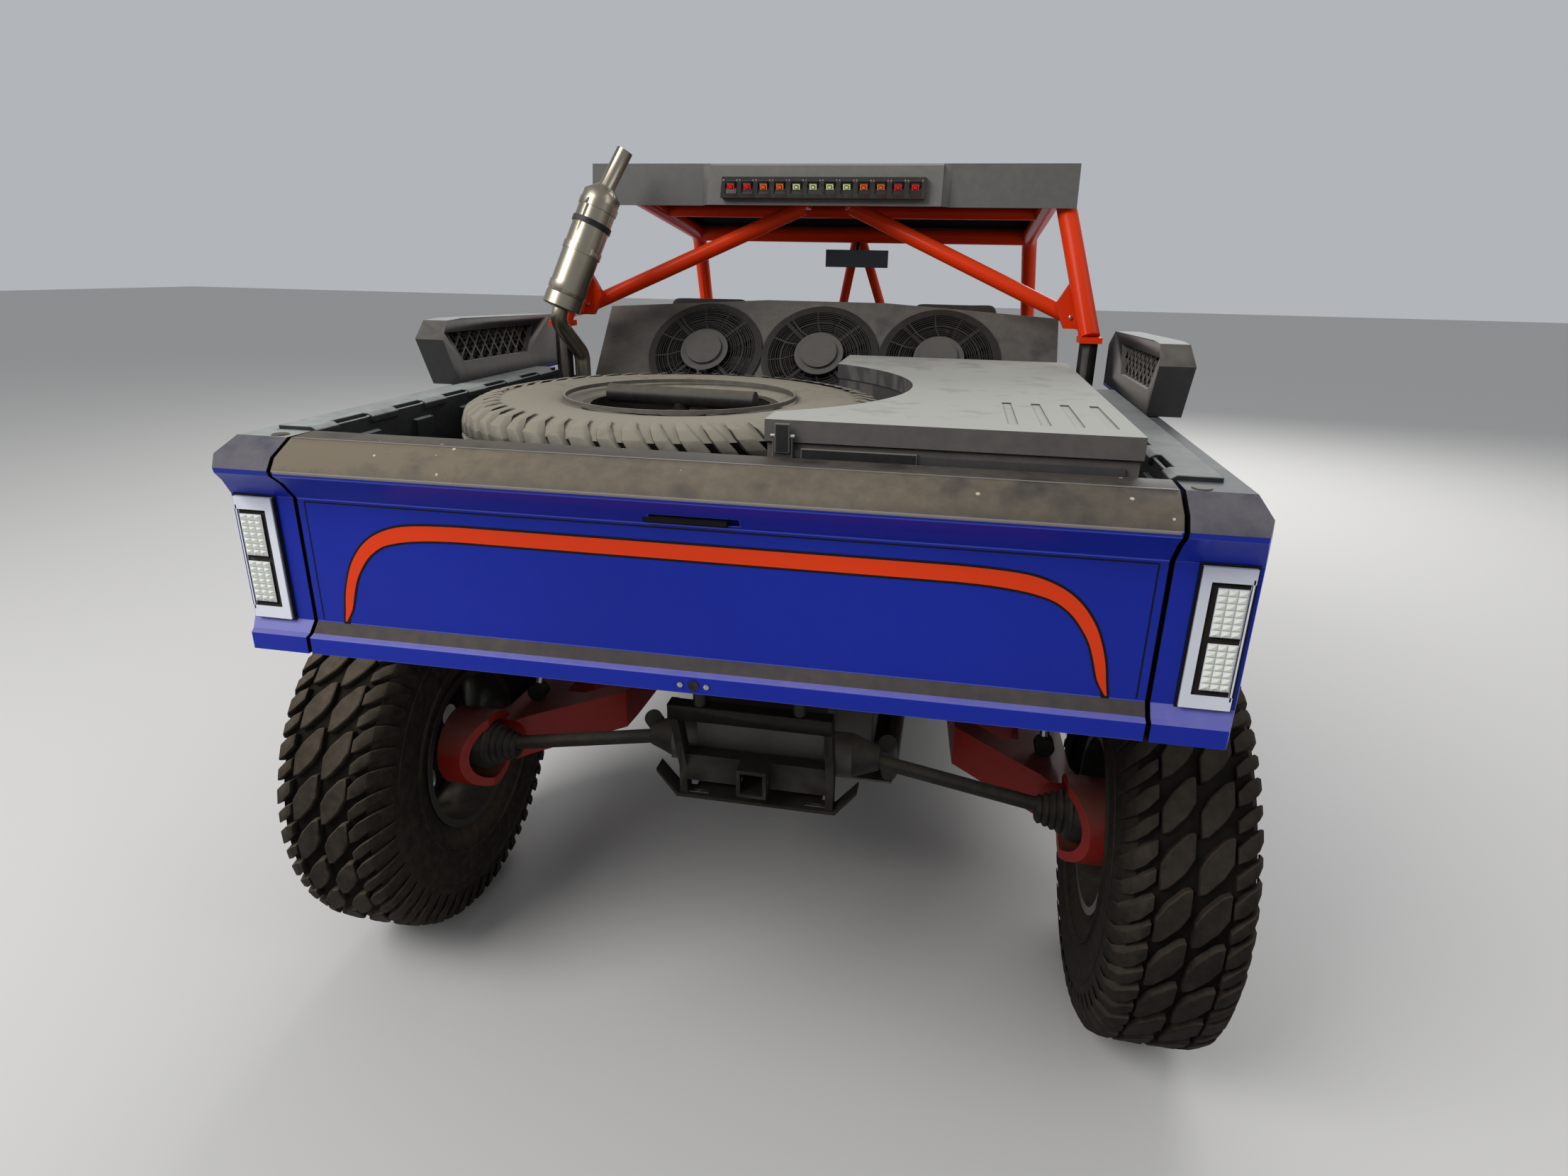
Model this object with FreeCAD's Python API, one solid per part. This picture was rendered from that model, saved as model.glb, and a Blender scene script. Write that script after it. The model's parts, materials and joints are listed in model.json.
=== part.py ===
import FreeCAD, Part
import math
import os

os.makedirs("parts", exist_ok=True)

# Frame: X to the right, Y forward, Z up, in millimetres, with the ground at zero
# and the origin below the middle of the vehicle.

# Wheels and axles
wheelbase = 2700.0
rear_axle_y = -1281.0
front_axle_y = rear_axle_y + wheelbase
tyre_radius = 445.0
tyre_half_width = 127.0
bead_radius = 196.0
bead_half_width = 98.0
wheel_x = 868.0
hub_z = tyre_radius
rim_gap = 0.3

# Rear of the body
ledge_y = -1841.0
side_x = 828.0
corner_width = 125.0
tailgate_gap = 6.0
corner_x = side_x - corner_width
tailgate_half = corner_x - tailgate_gap
rail_z = 1341.0
panel = 6.0

# Bed
bed_floor_z = 1060.0
bed_front_y = -760.0
bed_rear_y = ledge_y + 86.0
liner_clearance = 3.0
bed_half = corner_x - liner_clearance
cap_x = side_x - 60.0

# Cage
tube = 25.0
roof_rear_z = 1871.0
roof_front_z = roof_rear_z - 118.5
foot = (696.0, -721.0, 1466.0)
hoop_top = (606.0, -522.0, roof_rear_z - 40.0)
header_end = (589.0, 276.0, roof_front_z - 27.5)
cowl_end = (652.0, 680.0, 1262.0)

# Fan panel, given by the line of the fan centres and its lean from upright
fan_line_y = -591.0
fan_line_z = 1383.0
fan_lean = 39.9
fan_pitch = 328.0
fan_bore = 152.0
fan_radius = 143.0
panel_low = -184.0
panel_high = 186.0
shroud_depth = 34.0

# Cab
cab_rear_y = -540.0
cab_front_y = 1150.0
sill_z = 470.0
cab_half = 700.0
door_rear_y = -548.0
door_front_y = 635.0
cowl_z = 1246.0

# Steering
kingpin_x = 765.0
lower_joint_z = 330.0
upper_joint_z = 560.0
steer_arm = 140.0

# Frame rails
rail_x = 290.0
rail_low_z = 380.0
rail_r = 22.0


def vec(point):
    return FreeCAD.Vector(*point)


def box(x0, x1, y0, y1, z0, z1):
    return Part.makeBox(x1 - x0, y1 - y0, z1 - z0, FreeCAD.Vector(x0, y0, z0))


def rod(start, end, radius):
    run = vec(end) - vec(start)
    return Part.makeCylinder(radius, run.Length, vec(start), run)


def prism(points, travel):
    corners = [vec(p) for p in points]
    return Part.Face(Part.makePolygon(corners + corners[:1])).extrude(vec(travel))


def slab_x(points, x0, x1):
    return prism([(x0, y, z) for y, z in points], (x1 - x0, 0, 0))


def slab_y(points, y0, y1):
    return prism([(x, y0, z) for x, z in points], (0, y1 - y0, 0))


def slab_z(points, z0, z1):
    return prism([(x, y, z0) for x, y in points], (0, 0, z1 - z0))


def loft_y(sections):
    """Ruled solid through closed outlines, each (y, [(x, z), ...])."""
    wires = []
    for y, points in sections:
        corners = [FreeCAD.Vector(x, y, z) for x, z in points]
        wires.append(Part.makePolygon(corners + corners[:1]))
    return Part.makeLoft(wires, True, True)


def fuse(shapes):
    joined = shapes[0].multiFuse(shapes[1:]) if len(shapes) > 1 else shapes[0]
    return joined.removeSplitter()


def mirrored(shape):
    return shape.mirror(FreeCAD.Vector(0, 0, 0), FreeCAD.Vector(1, 0, 0))


def pair(shape):
    return [shape, mirrored(shape)]


def lean(shape):
    """Carry a shape from the upright fan panel's own frame to its place."""
    moved = shape.copy()
    moved.rotate(FreeCAD.Vector(0, 0, 0), FreeCAD.Vector(1, 0, 0), -fan_lean)
    moved.translate(FreeCAD.Vector(0, fan_line_y, fan_line_z))
    return moved


def lean_point(y, z):
    a = math.radians(fan_lean)
    return (fan_line_y + y * math.cos(a) + z * math.sin(a),
            fan_line_z - y * math.sin(a) + z * math.cos(a))


def bent_tube(points, radius, bend):
    """Round tube along a bent line whose corners are arcs of one radius."""
    knots = [vec(p) for p in points]
    edges = []
    start = knots[0]
    for before, corner, after in zip(knots, knots[1:], knots[2:]):
        back = (before - corner).normalize()
        ahead = (after - corner).normalize()
        half = back.getAngle(ahead) / 2
        reach = bend / math.tan(half)
        centre = corner + (back + ahead).normalize() * (bend / math.sin(half))
        arc_in = corner + back * reach
        arc_out = corner + ahead * reach
        middle = centre + (corner - centre).normalize() * bend
        edges.append(Part.makeLine(start, arc_in))
        edges.append(Part.Arc(arc_in, middle, arc_out).toShape())
        start = arc_out
    edges.append(Part.makeLine(start, knots[-1]))
    path = Part.Wire(edges)
    ring = Part.Wire(Part.makeCircle(radius, knots[0], knots[1] - knots[0]))
    return path.makePipeShell([ring], True, True)


def revolve_x(points, centre):
    """Solid of revolution about an axle along X from (offset, radius) points."""
    corners = [FreeCAD.Vector(w, r, 0) for w, r in points]
    face = Part.Face(Part.makePolygon(corners + corners[:1]))
    solid = face.revolve(FreeCAD.Vector(0, 0, 0), FreeCAD.Vector(1, 0, 0), 360)
    solid.translate(vec(centre))
    return solid


def save(node, shapes):
    whole = shapes[0] if len(shapes) == 1 else Part.makeCompound(shapes)
    whole.exportStep("parts/" + node + ".step")


# Tyres: a turned carcass and lugs, each a flat-sided block pushed slantwise out of its profile
lug_pitches = 21
lug_depth = 15.0
lug_tables = (
    # profile of (across, radius), length round the tread, slant across, place in the pitch
    (((60, 424), (60, 444.3), (101, 437), (124, 385), (113, 385)), 50.0, 12.0, 0.0),
    (((5, 424), (5, 444.3), (52, 444.3), (52, 424)), 52.0, -14.0, 0.42),
)


def carcass():
    half = tyre_half_width
    top = tyre_radius - lug_depth
    side = [
        (bead_half_width, bead_radius),
        (bead_half_width, bead_radius + 14),
        (half - 8, bead_radius + 60),
        (half, tyre_radius - 125),
        (half - 10, tyre_radius - 62),
        (half - 36, top - 8),
        (half - 70, top),
    ]
    return revolve_x(side + [(-w, r) for w, r in reversed(side)], (0, 0, 0))


def lug(profile, length, slant, turn):
    corners = [FreeCAD.Vector(w - slant / 2, -length / 2, r) for w, r in profile]
    block = Part.Face(Part.makePolygon(corners + corners[:1])).extrude(FreeCAD.Vector(slant, length, 0))
    block.rotate(FreeCAD.Vector(0, 0, 0), FreeCAD.Vector(1, 0, 0), turn)
    return block


def treaded():
    step = 360 / lug_pitches
    lugs = []
    for profile, length, slant, place in lug_tables:
        corner_turn = math.degrees(math.asin(length / 2 / tyre_radius))
        for index in range(lug_pitches):
            turn = (index + place) * step + corner_turn
            lugs.append(lug(profile, length, slant, turn))
            lugs.append(mirrored(lug(profile, length, slant, turn + step / 2)))
    return fuse([carcass()] + lugs)


master_tyre = treaded()


def tyre_at(centre):
    tyre = master_tyre.copy()
    if centre[0] < 0:
        tyre = mirrored(tyre)
    tyre.translate(vec(centre))
    return tyre


# Rims: barrel with bead flanges, a dished disc with windows and a hub
spoke_count = 8
disc_offset = 38.0
disc_thick = 14.0
hub_radius = 62.0
stub_radius = 22.0
rim_barrel = bead_radius - rim_gap


def rim_at(centre, outboard):
    wall = 8.0
    flange = bead_half_width + rim_gap
    barrel = [
        (-flange - 8, rim_barrel + 11), (-flange, rim_barrel + 11), (-flange, rim_barrel),
        (flange, rim_barrel), (flange, rim_barrel + 11), (flange + 8, rim_barrel + 11),
        (flange + 8, rim_barrel - wall), (-flange - 8, rim_barrel - wall),
    ]
    shape = revolve_x(barrel, (0, 0, 0))
    disc = rod((disc_offset, 0, 0), (disc_offset + disc_thick, 0, 0), rim_barrel - wall + 1)
    window_mid = 0.5 * (hub_radius + rim_barrel)
    for index in range(spoke_count):
        turn = 2 * math.pi * index / spoke_count
        y, z = window_mid * math.cos(turn), window_mid * math.sin(turn)
        disc = disc.cut(rod((disc_offset - 5, y, z), (disc_offset + 25, y, z), 33))
    hub = rod((disc_offset - 26, 0, 0), (disc_offset + 30, 0, 0), hub_radius)
    shape = fuse([shape, disc, hub])
    bore = rod((disc_offset - 30, 0, 0), (disc_offset + 12, 0, 0), stub_radius + 0.5)
    shape = shape.cut(bore)
    if outboard < 0:
        shape = mirrored(shape)
    shape.translate(vec(centre))
    return shape


corners = (
    # name, x side, axle y
    ("fl", -1, front_axle_y),
    ("fr", 1, front_axle_y),
    ("rl", -1, rear_axle_y),
    ("rr", 1, rear_axle_y),
)

for name, side, axle_y in corners:
    centre = (side * wheel_x, axle_y, hub_z)
    save("tyre_" + name, [tyre_at(centre)])
    save("rim_" + name, [rim_at(centre, side)])

# Spare wheel, flat in the bed under its clamp
spare_x = -188.0
spare_y = ledge_y + 560.0
spare_top_z = 1365.0
spare_mid_z = spare_top_z - tyre_half_width


def laid_flat(shape):
    turned = shape.copy()
    turned.rotate(FreeCAD.Vector(0, 0, 0), FreeCAD.Vector(0, 1, 0), -90)
    turned.translate(FreeCAD.Vector(spare_x, spare_y, spare_mid_z))
    return turned


save("spare_tyre", [laid_flat(tyre_at((0, 0, 0)))])
save("spare_rim", [laid_flat(rim_at((0, 0, 0), 1))])

clamp_top = 1380.0
clamp_half = 165.0
clamp_turn = 6.0
hub_face_z = spare_mid_z + disc_offset + 30


def spare_clamp():
    post = rod((spare_x, spare_y, hub_face_z + 0.4), (spare_x, spare_y, clamp_top - 30), 17)
    collar = rod((spare_x, spare_y, hub_face_z + 0.4), (spare_x, spare_y, hub_face_z + 16), 52)
    bar = rod((spare_x - clamp_half, spare_y, clamp_top - 25), (spare_x + clamp_half, spare_y,
                                                            clamp_top - 25), 20)
    bar.rotate(vec((spare_x, spare_y, 0)), FreeCAD.Vector(0, 0, 1), -clamp_turn)
    return fuse([post, collar, bar])


save("spare_clamp", [spare_clamp()])


# Stand for the spare on the bed floor, part of the liner
def spare_stand():
    plate_z = spare_mid_z + disc_offset - 26 - 0.4
    post = rod((spare_x, spare_y, bed_floor_z - 2), (spare_x, spare_y, plate_z), 45)
    flange = rod((spare_x, spare_y, bed_floor_z - 2), (spare_x, spare_y, bed_floor_z + 12), 110)
    return [post, flange]


hinge_pin = 5.0


# Tailgate: one moulded section, black crown, blue face, sloped ledge and lip
gate_section = (
    # y from the ledge edge, z
    (82, 1339), (26, 1337), (-20, 1312), (-34, 1292), (-31, 1283), (-10, 1266), (14, 1237),
    (14, 1014), (-2, 996), (-13, 992), (-13, 961), (24, 961), (40, 978), (66, 992),
    (66, 1296), (82, 1306),
)
hinge_y = ledge_y + 20.0
hinge_z = 974.0
handle_half = 72.0


def gate_profile():
    return [(ledge_y + y, z) for y, z in gate_section]


def tailgate():
    body = slab_x(gate_profile(), -tailgate_half, tailgate_half)
    handle = box(-handle_half, handle_half, ledge_y - 20, ledge_y + 30, 1243, 1256)
    lens = rod((0, ledge_y - 14, 977), (0, ledge_y - 4, 977), 7)
    for pin_hole in pair(rod((tailgate_half - 9, hinge_y, hinge_z), (tailgate_half + 1, hinge_y, hinge_z),
                             hinge_pin + 0.5)):
        body = body.cut(pin_hole)
    return body.cut(handle).cut(lens)


save("tailgate", [tailgate()])


# Bedsides: outer skin with the rear corner and the open arch over the tyre
arch_radius = 520.0
side_low_z = 985.0
side_front_y = -560.0
rocker_low_z = 470.0
skin_section = (
    # x, z of the outer skin from the rail cap to the low edge
    (cap_x + 0.4, rail_z), (side_x - 32, rail_z), (side_x - 4, rail_z - 57), (side_x, rail_z - 101),
    (side_x, 0),
)


def bedside():
    outer = slab_y([(corner_x, 900), (corner_x, rail_z)] + list(skin_section[1:4]) + [(side_x, 900)],
                   ledge_y - 40, side_front_y)
    inner = slab_y([(corner_x - 10, 890), (corner_x - 10, rail_z - panel), (side_x - 36, rail_z - panel),
                    (side_x - 4 - panel, rail_z - 59), (side_x - panel, rail_z - 101),
                    (side_x - panel, 890)],
                   ledge_y + 36, side_front_y + 10)
    rear = [(y, z) for y, z in gate_profile()[:14]]
    rear[0] = (side_front_y, rail_z)
    rear[1] = (ledge_y + 26, 1337)
    rear = rear[:11] + [(side_front_y, 961)]
    keep = slab_x(rear, corner_x, side_x + 1)
    corner_cut = slab_z([(side_x - 34, ledge_y - 60), (side_x + 30, ledge_y - 60),
                         (side_x + 30, ledge_y + 30),
                         (side_x, ledge_y + 30)], 900, 1400)
    skin = outer.common(keep).cut(inner)
    floor_cut = box(corner_x - 20, side_x - panel, ledge_y + 90, side_front_y + 10, 900, rail_z - panel)
    skin = skin.cut(floor_cut).cut(corner_cut)
    over_liner = box(corner_x - 20, cap_x + 0.4, ledge_y + 86, side_front_y + 10, 900, rail_z + 10)
    skin = skin.cut(over_liner)
    low = box(corner_x - 20, side_x + 10, ledge_y + 96, side_front_y + 10, 900, side_low_z)
    skin = skin.cut(low)
    quarter = box(side_x - panel, side_x, rear_axle_y + 300, side_front_y, rocker_low_z, 1240)
    arch = rod((side_x - 60, rear_axle_y, hub_z), (side_x + 60, rear_axle_y, hub_z), arch_radius)
    pin = rod((tailgate_half - 8, hinge_y, hinge_z), (corner_x + 2, hinge_y, hinge_z), hinge_pin)
    return fuse([skin, quarter.cut(arch), pin])


save("bedsides", pair(bedside()))


# Bed liner: floor, walls and the slotted rail caps
slot_pitch = 178.0
slot_count = 6


def bed_liner():
    floor = box(-bed_half, bed_half, bed_rear_y, bed_front_y, bed_floor_z - panel, bed_floor_z)
    wall = box(bed_half, bed_half + panel, bed_rear_y, bed_front_y + panel, bed_floor_z - panel, rail_z - 2)
    cap = slab_y([(bed_half - 6, rail_z - 14), (bed_half - 6, rail_z - 2), (bed_half + 4, rail_z + 4),
                  (cap_x, rail_z + 4), (cap_x, rail_z - 8), (bed_half + panel, rail_z - 8),
                  (bed_half + panel, rail_z - 14)], bed_rear_y, bed_front_y + panel)
    for index in range(slot_count):
        y = bed_rear_y + 60 + index * slot_pitch
        cap = cap.cut(box(bed_half - 12, bed_half + 12, y, y + 96, rail_z - 20, rail_z + 10))
    front = box(-bed_half - panel, bed_half + panel, bed_front_y, bed_front_y + panel,
                bed_floor_z - panel, bed_floor_z + 158)
    ribs = [box(x - 16, x + 16, bed_rear_y, bed_front_y, bed_floor_z - 18, bed_floor_z - panel)
            for x in (-480, -160, 160, 480)]
    wall_ribs = []
    for index in range(slot_count - 1):
        y = bed_rear_y + 115 + index * slot_pitch
        wall_ribs += pair(box(bed_half - 8, bed_half + 1, y, y + 60, bed_floor_z - 2, rail_z - 30))
    return fuse([floor, front] + pair(wall) + pair(cap) + ribs + wall_ribs + spare_stand())


save("bed_liner", [bed_liner()])


# Storage box: tray and hinged lid, cut round the spare, its front wall along the fan panel
box_x0 = 96.0
box_x1 = 652.0
box_y0 = ledge_y + 92.0
box_y1 = bed_front_y + 107.0
box_top_z = 1396.0
lid_depth = 34.0
box_wall = 8.0
box_cut = 486.0
rest_gap = 0.4
lid_overhang = 4.0


def box_body(inset, z0, z1):
    front_gap = 40.0
    low_y = bed_front_y - 8.0
    low_z = fan_line_z + (low_y + front_gap - fan_line_y) / math.tan(math.radians(fan_lean))
    high_z = low_z + (box_y1 - low_y) / math.tan(math.radians(fan_lean))
    side = [(box_y0 + inset, z0), (low_y - inset, z0), (low_y - inset, low_z), (box_y1 - inset, high_z),
            (box_y1 - inset, z1), (box_y0 + inset, z1)]
    if z0 > high_z:
        side = [(box_y0 + inset, z0), (box_y1 - inset, z0), (box_y1 - inset, z1), (box_y0 + inset, z1)]
    shape = slab_x(side, box_x0 + inset, box_x1 - inset)
    return shape.cut(rod((spare_x, spare_y, z0 - 1), (spare_x, spare_y, z1 + 1), box_cut + inset))


def storage_box():
    seam_z = box_top_z - lid_depth - rest_gap
    tray = box_body(0, bed_floor_z + 0.3, seam_z)
    tray = tray.cut(box_body(box_wall, bed_floor_z + box_wall, seam_z + 1))
    for x in (220, 340, 460, 580):
        tray = fuse([tray, box(x - 12, x + 12, box_y0 - 5, box_y0 + 1, bed_floor_z + 30, seam_z - 30)])
    rim = box(box_x0 + 20, box_x1 - 20, box_y0 - 5, box_y0 + 1, seam_z - 24, seam_z - 12)
    return fuse([tray, rim])


def box_lid():
    seam_z = box_top_z - lid_depth
    lid = box_body(-lid_overhang, seam_z, box_top_z)
    lid = lid.cut(box_body(5, seam_z - 1, box_top_z - 7))
    for x in (470, 520, 570, 620):
        lid = lid.cut(box(x - 8, x + 8, box_y0 + 60, box_y0 + 300, box_top_z - 2.5, box_top_z + 1))
    return lid


save("storage_box", [storage_box()])
save("box_lid", [box_lid()])


# Tail lamps in the corners
lamp_x0 = side_x - 88.0
lamp_x1 = side_x - 16.0
lamp_z0 = 1016.0
lamp_z1 = 1235.0


def tail_lamp():
    face_y = ledge_y + 14
    case = box(lamp_x0, lamp_x1, face_y - 10, face_y - 0.3, lamp_z0, lamp_z1)
    inset = box(lamp_x0 + 14, lamp_x1 + 1, face_y - 11, face_y - 6, lamp_z0 + 22, lamp_z1 - 22)
    bands = []
    middle = 0.5 * (lamp_z0 + lamp_z1)
    for low, high in ((lamp_z0 + 30, middle - 5), (middle + 5, lamp_z1 - 30)):
        bands.append(box(lamp_x0 + 24, lamp_x1 - 6, face_y - 9, face_y - 5, low, high))
    return fuse([case.cut(inset)] + bands)


save("taillights", pair(tail_lamp()))


# Side scoops on the bedside rails
scoop_x0 = cap_x + 0.8
scoop_x1 = side_x + 10.0
scoop_outline = ((-1155, rail_z + 0.4), (-1208, 1447), (-1186, 1488), (-1120, 1490), (-640, 1478),
                 (-560, 1440), (-560, rail_z + 0.4))


def side_scoop():
    shape = slab_x(scoop_outline, scoop_x0, scoop_x1)
    bevel = slab_y([(scoop_x1 - 16, 1500), (scoop_x1 + 12, 1500), (scoop_x1 + 12, 1448), (scoop_x1, 1448)],
                   -1250, -500)
    pocket = slab_x([(-1130, 1392), (-1200, 1462), (-760, 1456), (-800, 1388)], scoop_x0 - 5, scoop_x0 + 14)
    shape = shape.cut(bevel).cut(pocket)
    bars = []
    for y in range(-1150, -740, 46):
        for lean_y in (-40, 40):
            bars.append(slab_x([(y - lean_y, 1380), (y - lean_y + 7, 1380), (y + lean_y + 7, 1470),
                                (y + lean_y, 1470)],
                               scoop_x0 + 8, scoop_x0 + 15))
    grille = fuse(bars).common(pocket)
    return fuse([shape, grille])


save("side_scoops", pair(side_scoop()))


# Roll cage
brace_foot = (676.0, -600.0, 1499.0)
brace_top = (66.0, -512.0, hoop_top[2] - 61.0)


def cage_side():
    top_bend = 110.0
    main = bent_tube([foot, hoop_top, header_end, cowl_end], tube, top_bend)
    plate = box(foot[0] - 27, foot[0] + 27, foot[1] - 32, foot[1] + 32, foot[2] - 13, foot[2] + 1)
    brace = rod(brace_foot, brace_top, 20)
    gusset = slab_y([(640, 1480), (694, 1480), (680, 1600), (652, 1606), (612, 1536)], -638, -618)
    tie = rod((foot[0] - 6, foot[1] + 14, 1492), brace_foot, 20)
    cowl_foot = box(cowl_end[0] - 40, cowl_end[0] + 40, cowl_end[1] - 36, cowl_end[1] + 40, 1242, 1262)
    return [main, plate, brace, gusset, tie, cowl_foot]


def roll_cage():
    parts = []
    for shape in cage_side():
        parts += pair(shape)
    cross_z = hoop_top[2] - 16
    parts.append(rod((-hoop_top[0], -505, cross_z), (hoop_top[0], -505, cross_z), 20))
    parts.append(rod((-header_end[0], header_end[1] - 6, header_end[2]),
                     (header_end[0], header_end[1] - 6, header_end[2]), tube))
    middle_z = hoop_top[2] - 49
    parts.append(rod((-600, -110, middle_z), (600, -110, middle_z), 20))
    for side in (-1, 1):
        parts.append(rod((side * 8, 280, header_end[2] - 9), (side * 136, 668, 1256), 17))
        parts.append(rod((side * 60, -505, cross_z - 3), (side * 66, -512, brace_top[2] - 2), 20))
    parts.append(box(-170, 170, 640, 700, 1242, 1262))
    return fuse(parts)


save("roll_cage", [roll_cage()])

# Roof: one folded sheet with a deep rear visor
roof_front_y = 300.0
roof_rear_y = -586.0
visor_low_z = roof_rear_z - 104.0
visor_high_z = roof_rear_z - 6.0
roof_half_rear = 641.0
roof_half_front = 618.0


def visor_mid_y(z):
    """Rear face of the visor's middle, which leans back towards its low edge."""
    return roof_rear_y - 15 - 39 * (visor_high_z - z) / 99


def roof_panel():
    thick = 5.0
    top = prism([(-roof_half_rear, roof_rear_y, roof_rear_z), (roof_half_rear, roof_rear_y, roof_rear_z),
                 (roof_half_front, roof_front_y, roof_front_z), (-roof_half_front, roof_front_y,
                                                            roof_front_z)],
                (0, 0, -thick))
    outer = [(roof_rear_y, roof_rear_z), (roof_rear_y - 14, visor_low_z), (roof_rear_y - 8, visor_low_z),
             (roof_rear_y + 7, roof_rear_z - 2)]
    low_y = visor_mid_y(visor_low_z)
    fold_z = visor_high_z - 7
    middle = [(roof_rear_y, roof_rear_z), (visor_mid_y(visor_high_z), visor_high_z), (low_y, visor_low_z),
              (low_y + 6, visor_low_z),
              (visor_mid_y(fold_z) + 6, fold_z), (roof_rear_y + 7, roof_rear_z - 2)]
    near = [(roof_rear_y, roof_rear_z), (low_y, visor_low_z), (low_y + 6, visor_low_z),
            (roof_rear_y + 7, roof_rear_z - 2)]
    cheek = Part.makeLoft([
        Part.makePolygon([FreeCAD.Vector(x, y, z) for y, z in section + section[:1]])
        for x, section in ((306, near), (328, outer))
    ], True, True)
    side = slab_x(outer, 328, roof_half_rear)
    lip = box(roof_half_rear - 6, roof_half_rear, roof_rear_y, roof_rear_y + 16, roof_rear_z - 71,
              roof_rear_z - 4)
    return fuse([top, slab_x(middle, -306, 306)] + pair(side) + pair(cheek) + pair(lip))


save("roof_panel", [roof_panel()])

# Rear light bar of twelve lamp modules
bar_half = 261.0
bar_low = visor_low_z + 20.0
bar_high = bar_low + 44.0
module_count = 12
module_pitch = 2 * bar_half / module_count


def rear_light_bar():
    low, high = bar_low - 4, bar_high + 4
    case = slab_x([(visor_mid_y(low) - rest_gap, low), (visor_mid_y(high) - rest_gap, high),
                   (visor_mid_y(high) - 22, high), (visor_mid_y(low) - 22,
                                                    low)], -bar_half - 4, bar_half + 4)
    low, high = bar_low + 7, bar_high - 7
    for index in range(module_count):
        x = -bar_half + (index + 0.5) * module_pitch
        window = slab_x([(visor_mid_y(low) - 17, low), (visor_mid_y(high) - 17, high),
                         (visor_mid_y(high) - 30, high),
                         (visor_mid_y(low) - 30, low)], x - 15, x + 15)
        case = case.cut(window)
    return case


save("rear_light_bar", [rear_light_bar()])

# Fan panel: shroud, radiator, guards and three rotors
blade_count = 7
blade_sections = (
    # height above the shaft, chord, pitch in degrees
    (48, 30, 24),
    (95, 42, 17),
    (139.5, 50, 11),
)
guard_rings = (84.0, 96.0, 124.0, 136.0)
fan_xs = (-fan_pitch, 0.0, fan_pitch)


def fan_shroud():
    outline = [(-640, -120), (-596, panel_low), (596, panel_low), (640, -120), (640, 150), (170, panel_high),
               (-170, panel_high), (-640, 150)]
    shape = slab_y(outline, 0, shroud_depth)
    for x in fan_xs:
        shape = shape.cut(rod((x, -5, 0), (x, shroud_depth + 5, 0), fan_bore))
    return lean(shape)


def radiator_core():
    return lean(box(-590, 590, shroud_depth + 0.4, shroud_depth + 36, panel_low + 14, 148))


def fan_guard(x):
    ring = rod((x, -6, 0), (x, -0.4, 0), fan_bore + 12).cut(rod((x, -8, 0), (x, 1, 0), fan_bore - 8))
    middle = rod((x, -6, 0), (x, -2, 0), 112).cut(rod((x, -8, 0), (x, 1, 0), 106))
    struts = []
    for index in range(4):
        strut = box(-5, 5, -6, -2, 60, fan_bore)
        strut.rotate(FreeCAD.Vector(0, 0, 0), FreeCAD.Vector(0, 1, 0), 45 + 90 * index)
        strut.translate(FreeCAD.Vector(x, 0, 0))
        struts.append(strut)
    for radius in guard_rings:
        struts.append(rod((x, -5, 0), (x, -2.5, 0), radius + 1.25).cut(rod((x, -8, 0), (x, 1, 0),
                                                            radius - 1.25)))
    motor = fuse([rod((x, -16, 0), (x, 4, 0), 68), rod((x, -24, 0), (x, -15, 0), 50)])
    bore = rod((x, -12, 0), (x, 6, 0), 8.5)
    return lean(fuse([ring, middle, motor] + struts).cut(bore))


def fan_blade():
    sections = []
    for z, chord, pitch in blade_sections:
        a = math.radians(pitch)
        along = FreeCAD.Vector(math.cos(a), math.sin(a), 0) * (chord / 2)
        across = FreeCAD.Vector(-math.sin(a), math.cos(a), 0) * 1.1
        middle = FreeCAD.Vector(0, 18.5, z)
        corners = [middle + along + across, middle - along + across, middle - along - across,
                   middle + along - across]
        sections.append(Part.makePolygon(corners + corners[:1]))
    return Part.makeLoft(sections, True, True)


def fan_rotor(x):
    hub = rod((x, 10, 0), (x, 27, 0), 52)
    shaft = rod((x, -10, 0), (x, 12, 0), 8)
    rim = rod((x, 10, 0), (x, 27, 0), fan_radius).cut(rod((x, 9, 0), (x, 28, 0), fan_radius - 5))
    blades = []
    for index in range(blade_count):
        blade = fan_blade()
        blade.rotate(FreeCAD.Vector(0, 0, 0), FreeCAD.Vector(0, 1, 0), 360 * index / blade_count)
        blade.translate(FreeCAD.Vector(x, 0, 0))
        blades.append(blade)
    return lean(fuse([hub, shaft, rim] + blades))


save("fan_shroud", [fan_shroud()])
save("radiator_core", [radiator_core()])
save("fan_guards", [fan_guard(x) for x in fan_xs])
for name, x in zip(("left", "middle", "right"), fan_xs):
    save("fan_rotor_" + name, [fan_rotor(x)])

# Muffler on the left hoop leg, with its pipe down to the engine
can_low = (-650.0, -801.0, 1530.0)
can_high = (-560.0, -731.0, 1780.0)
tip_end = (-503.0, -705.0, 1889.0)
can_radius = 48.0
engine_top_z = 880.0
pipe_radius = 21.0


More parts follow.
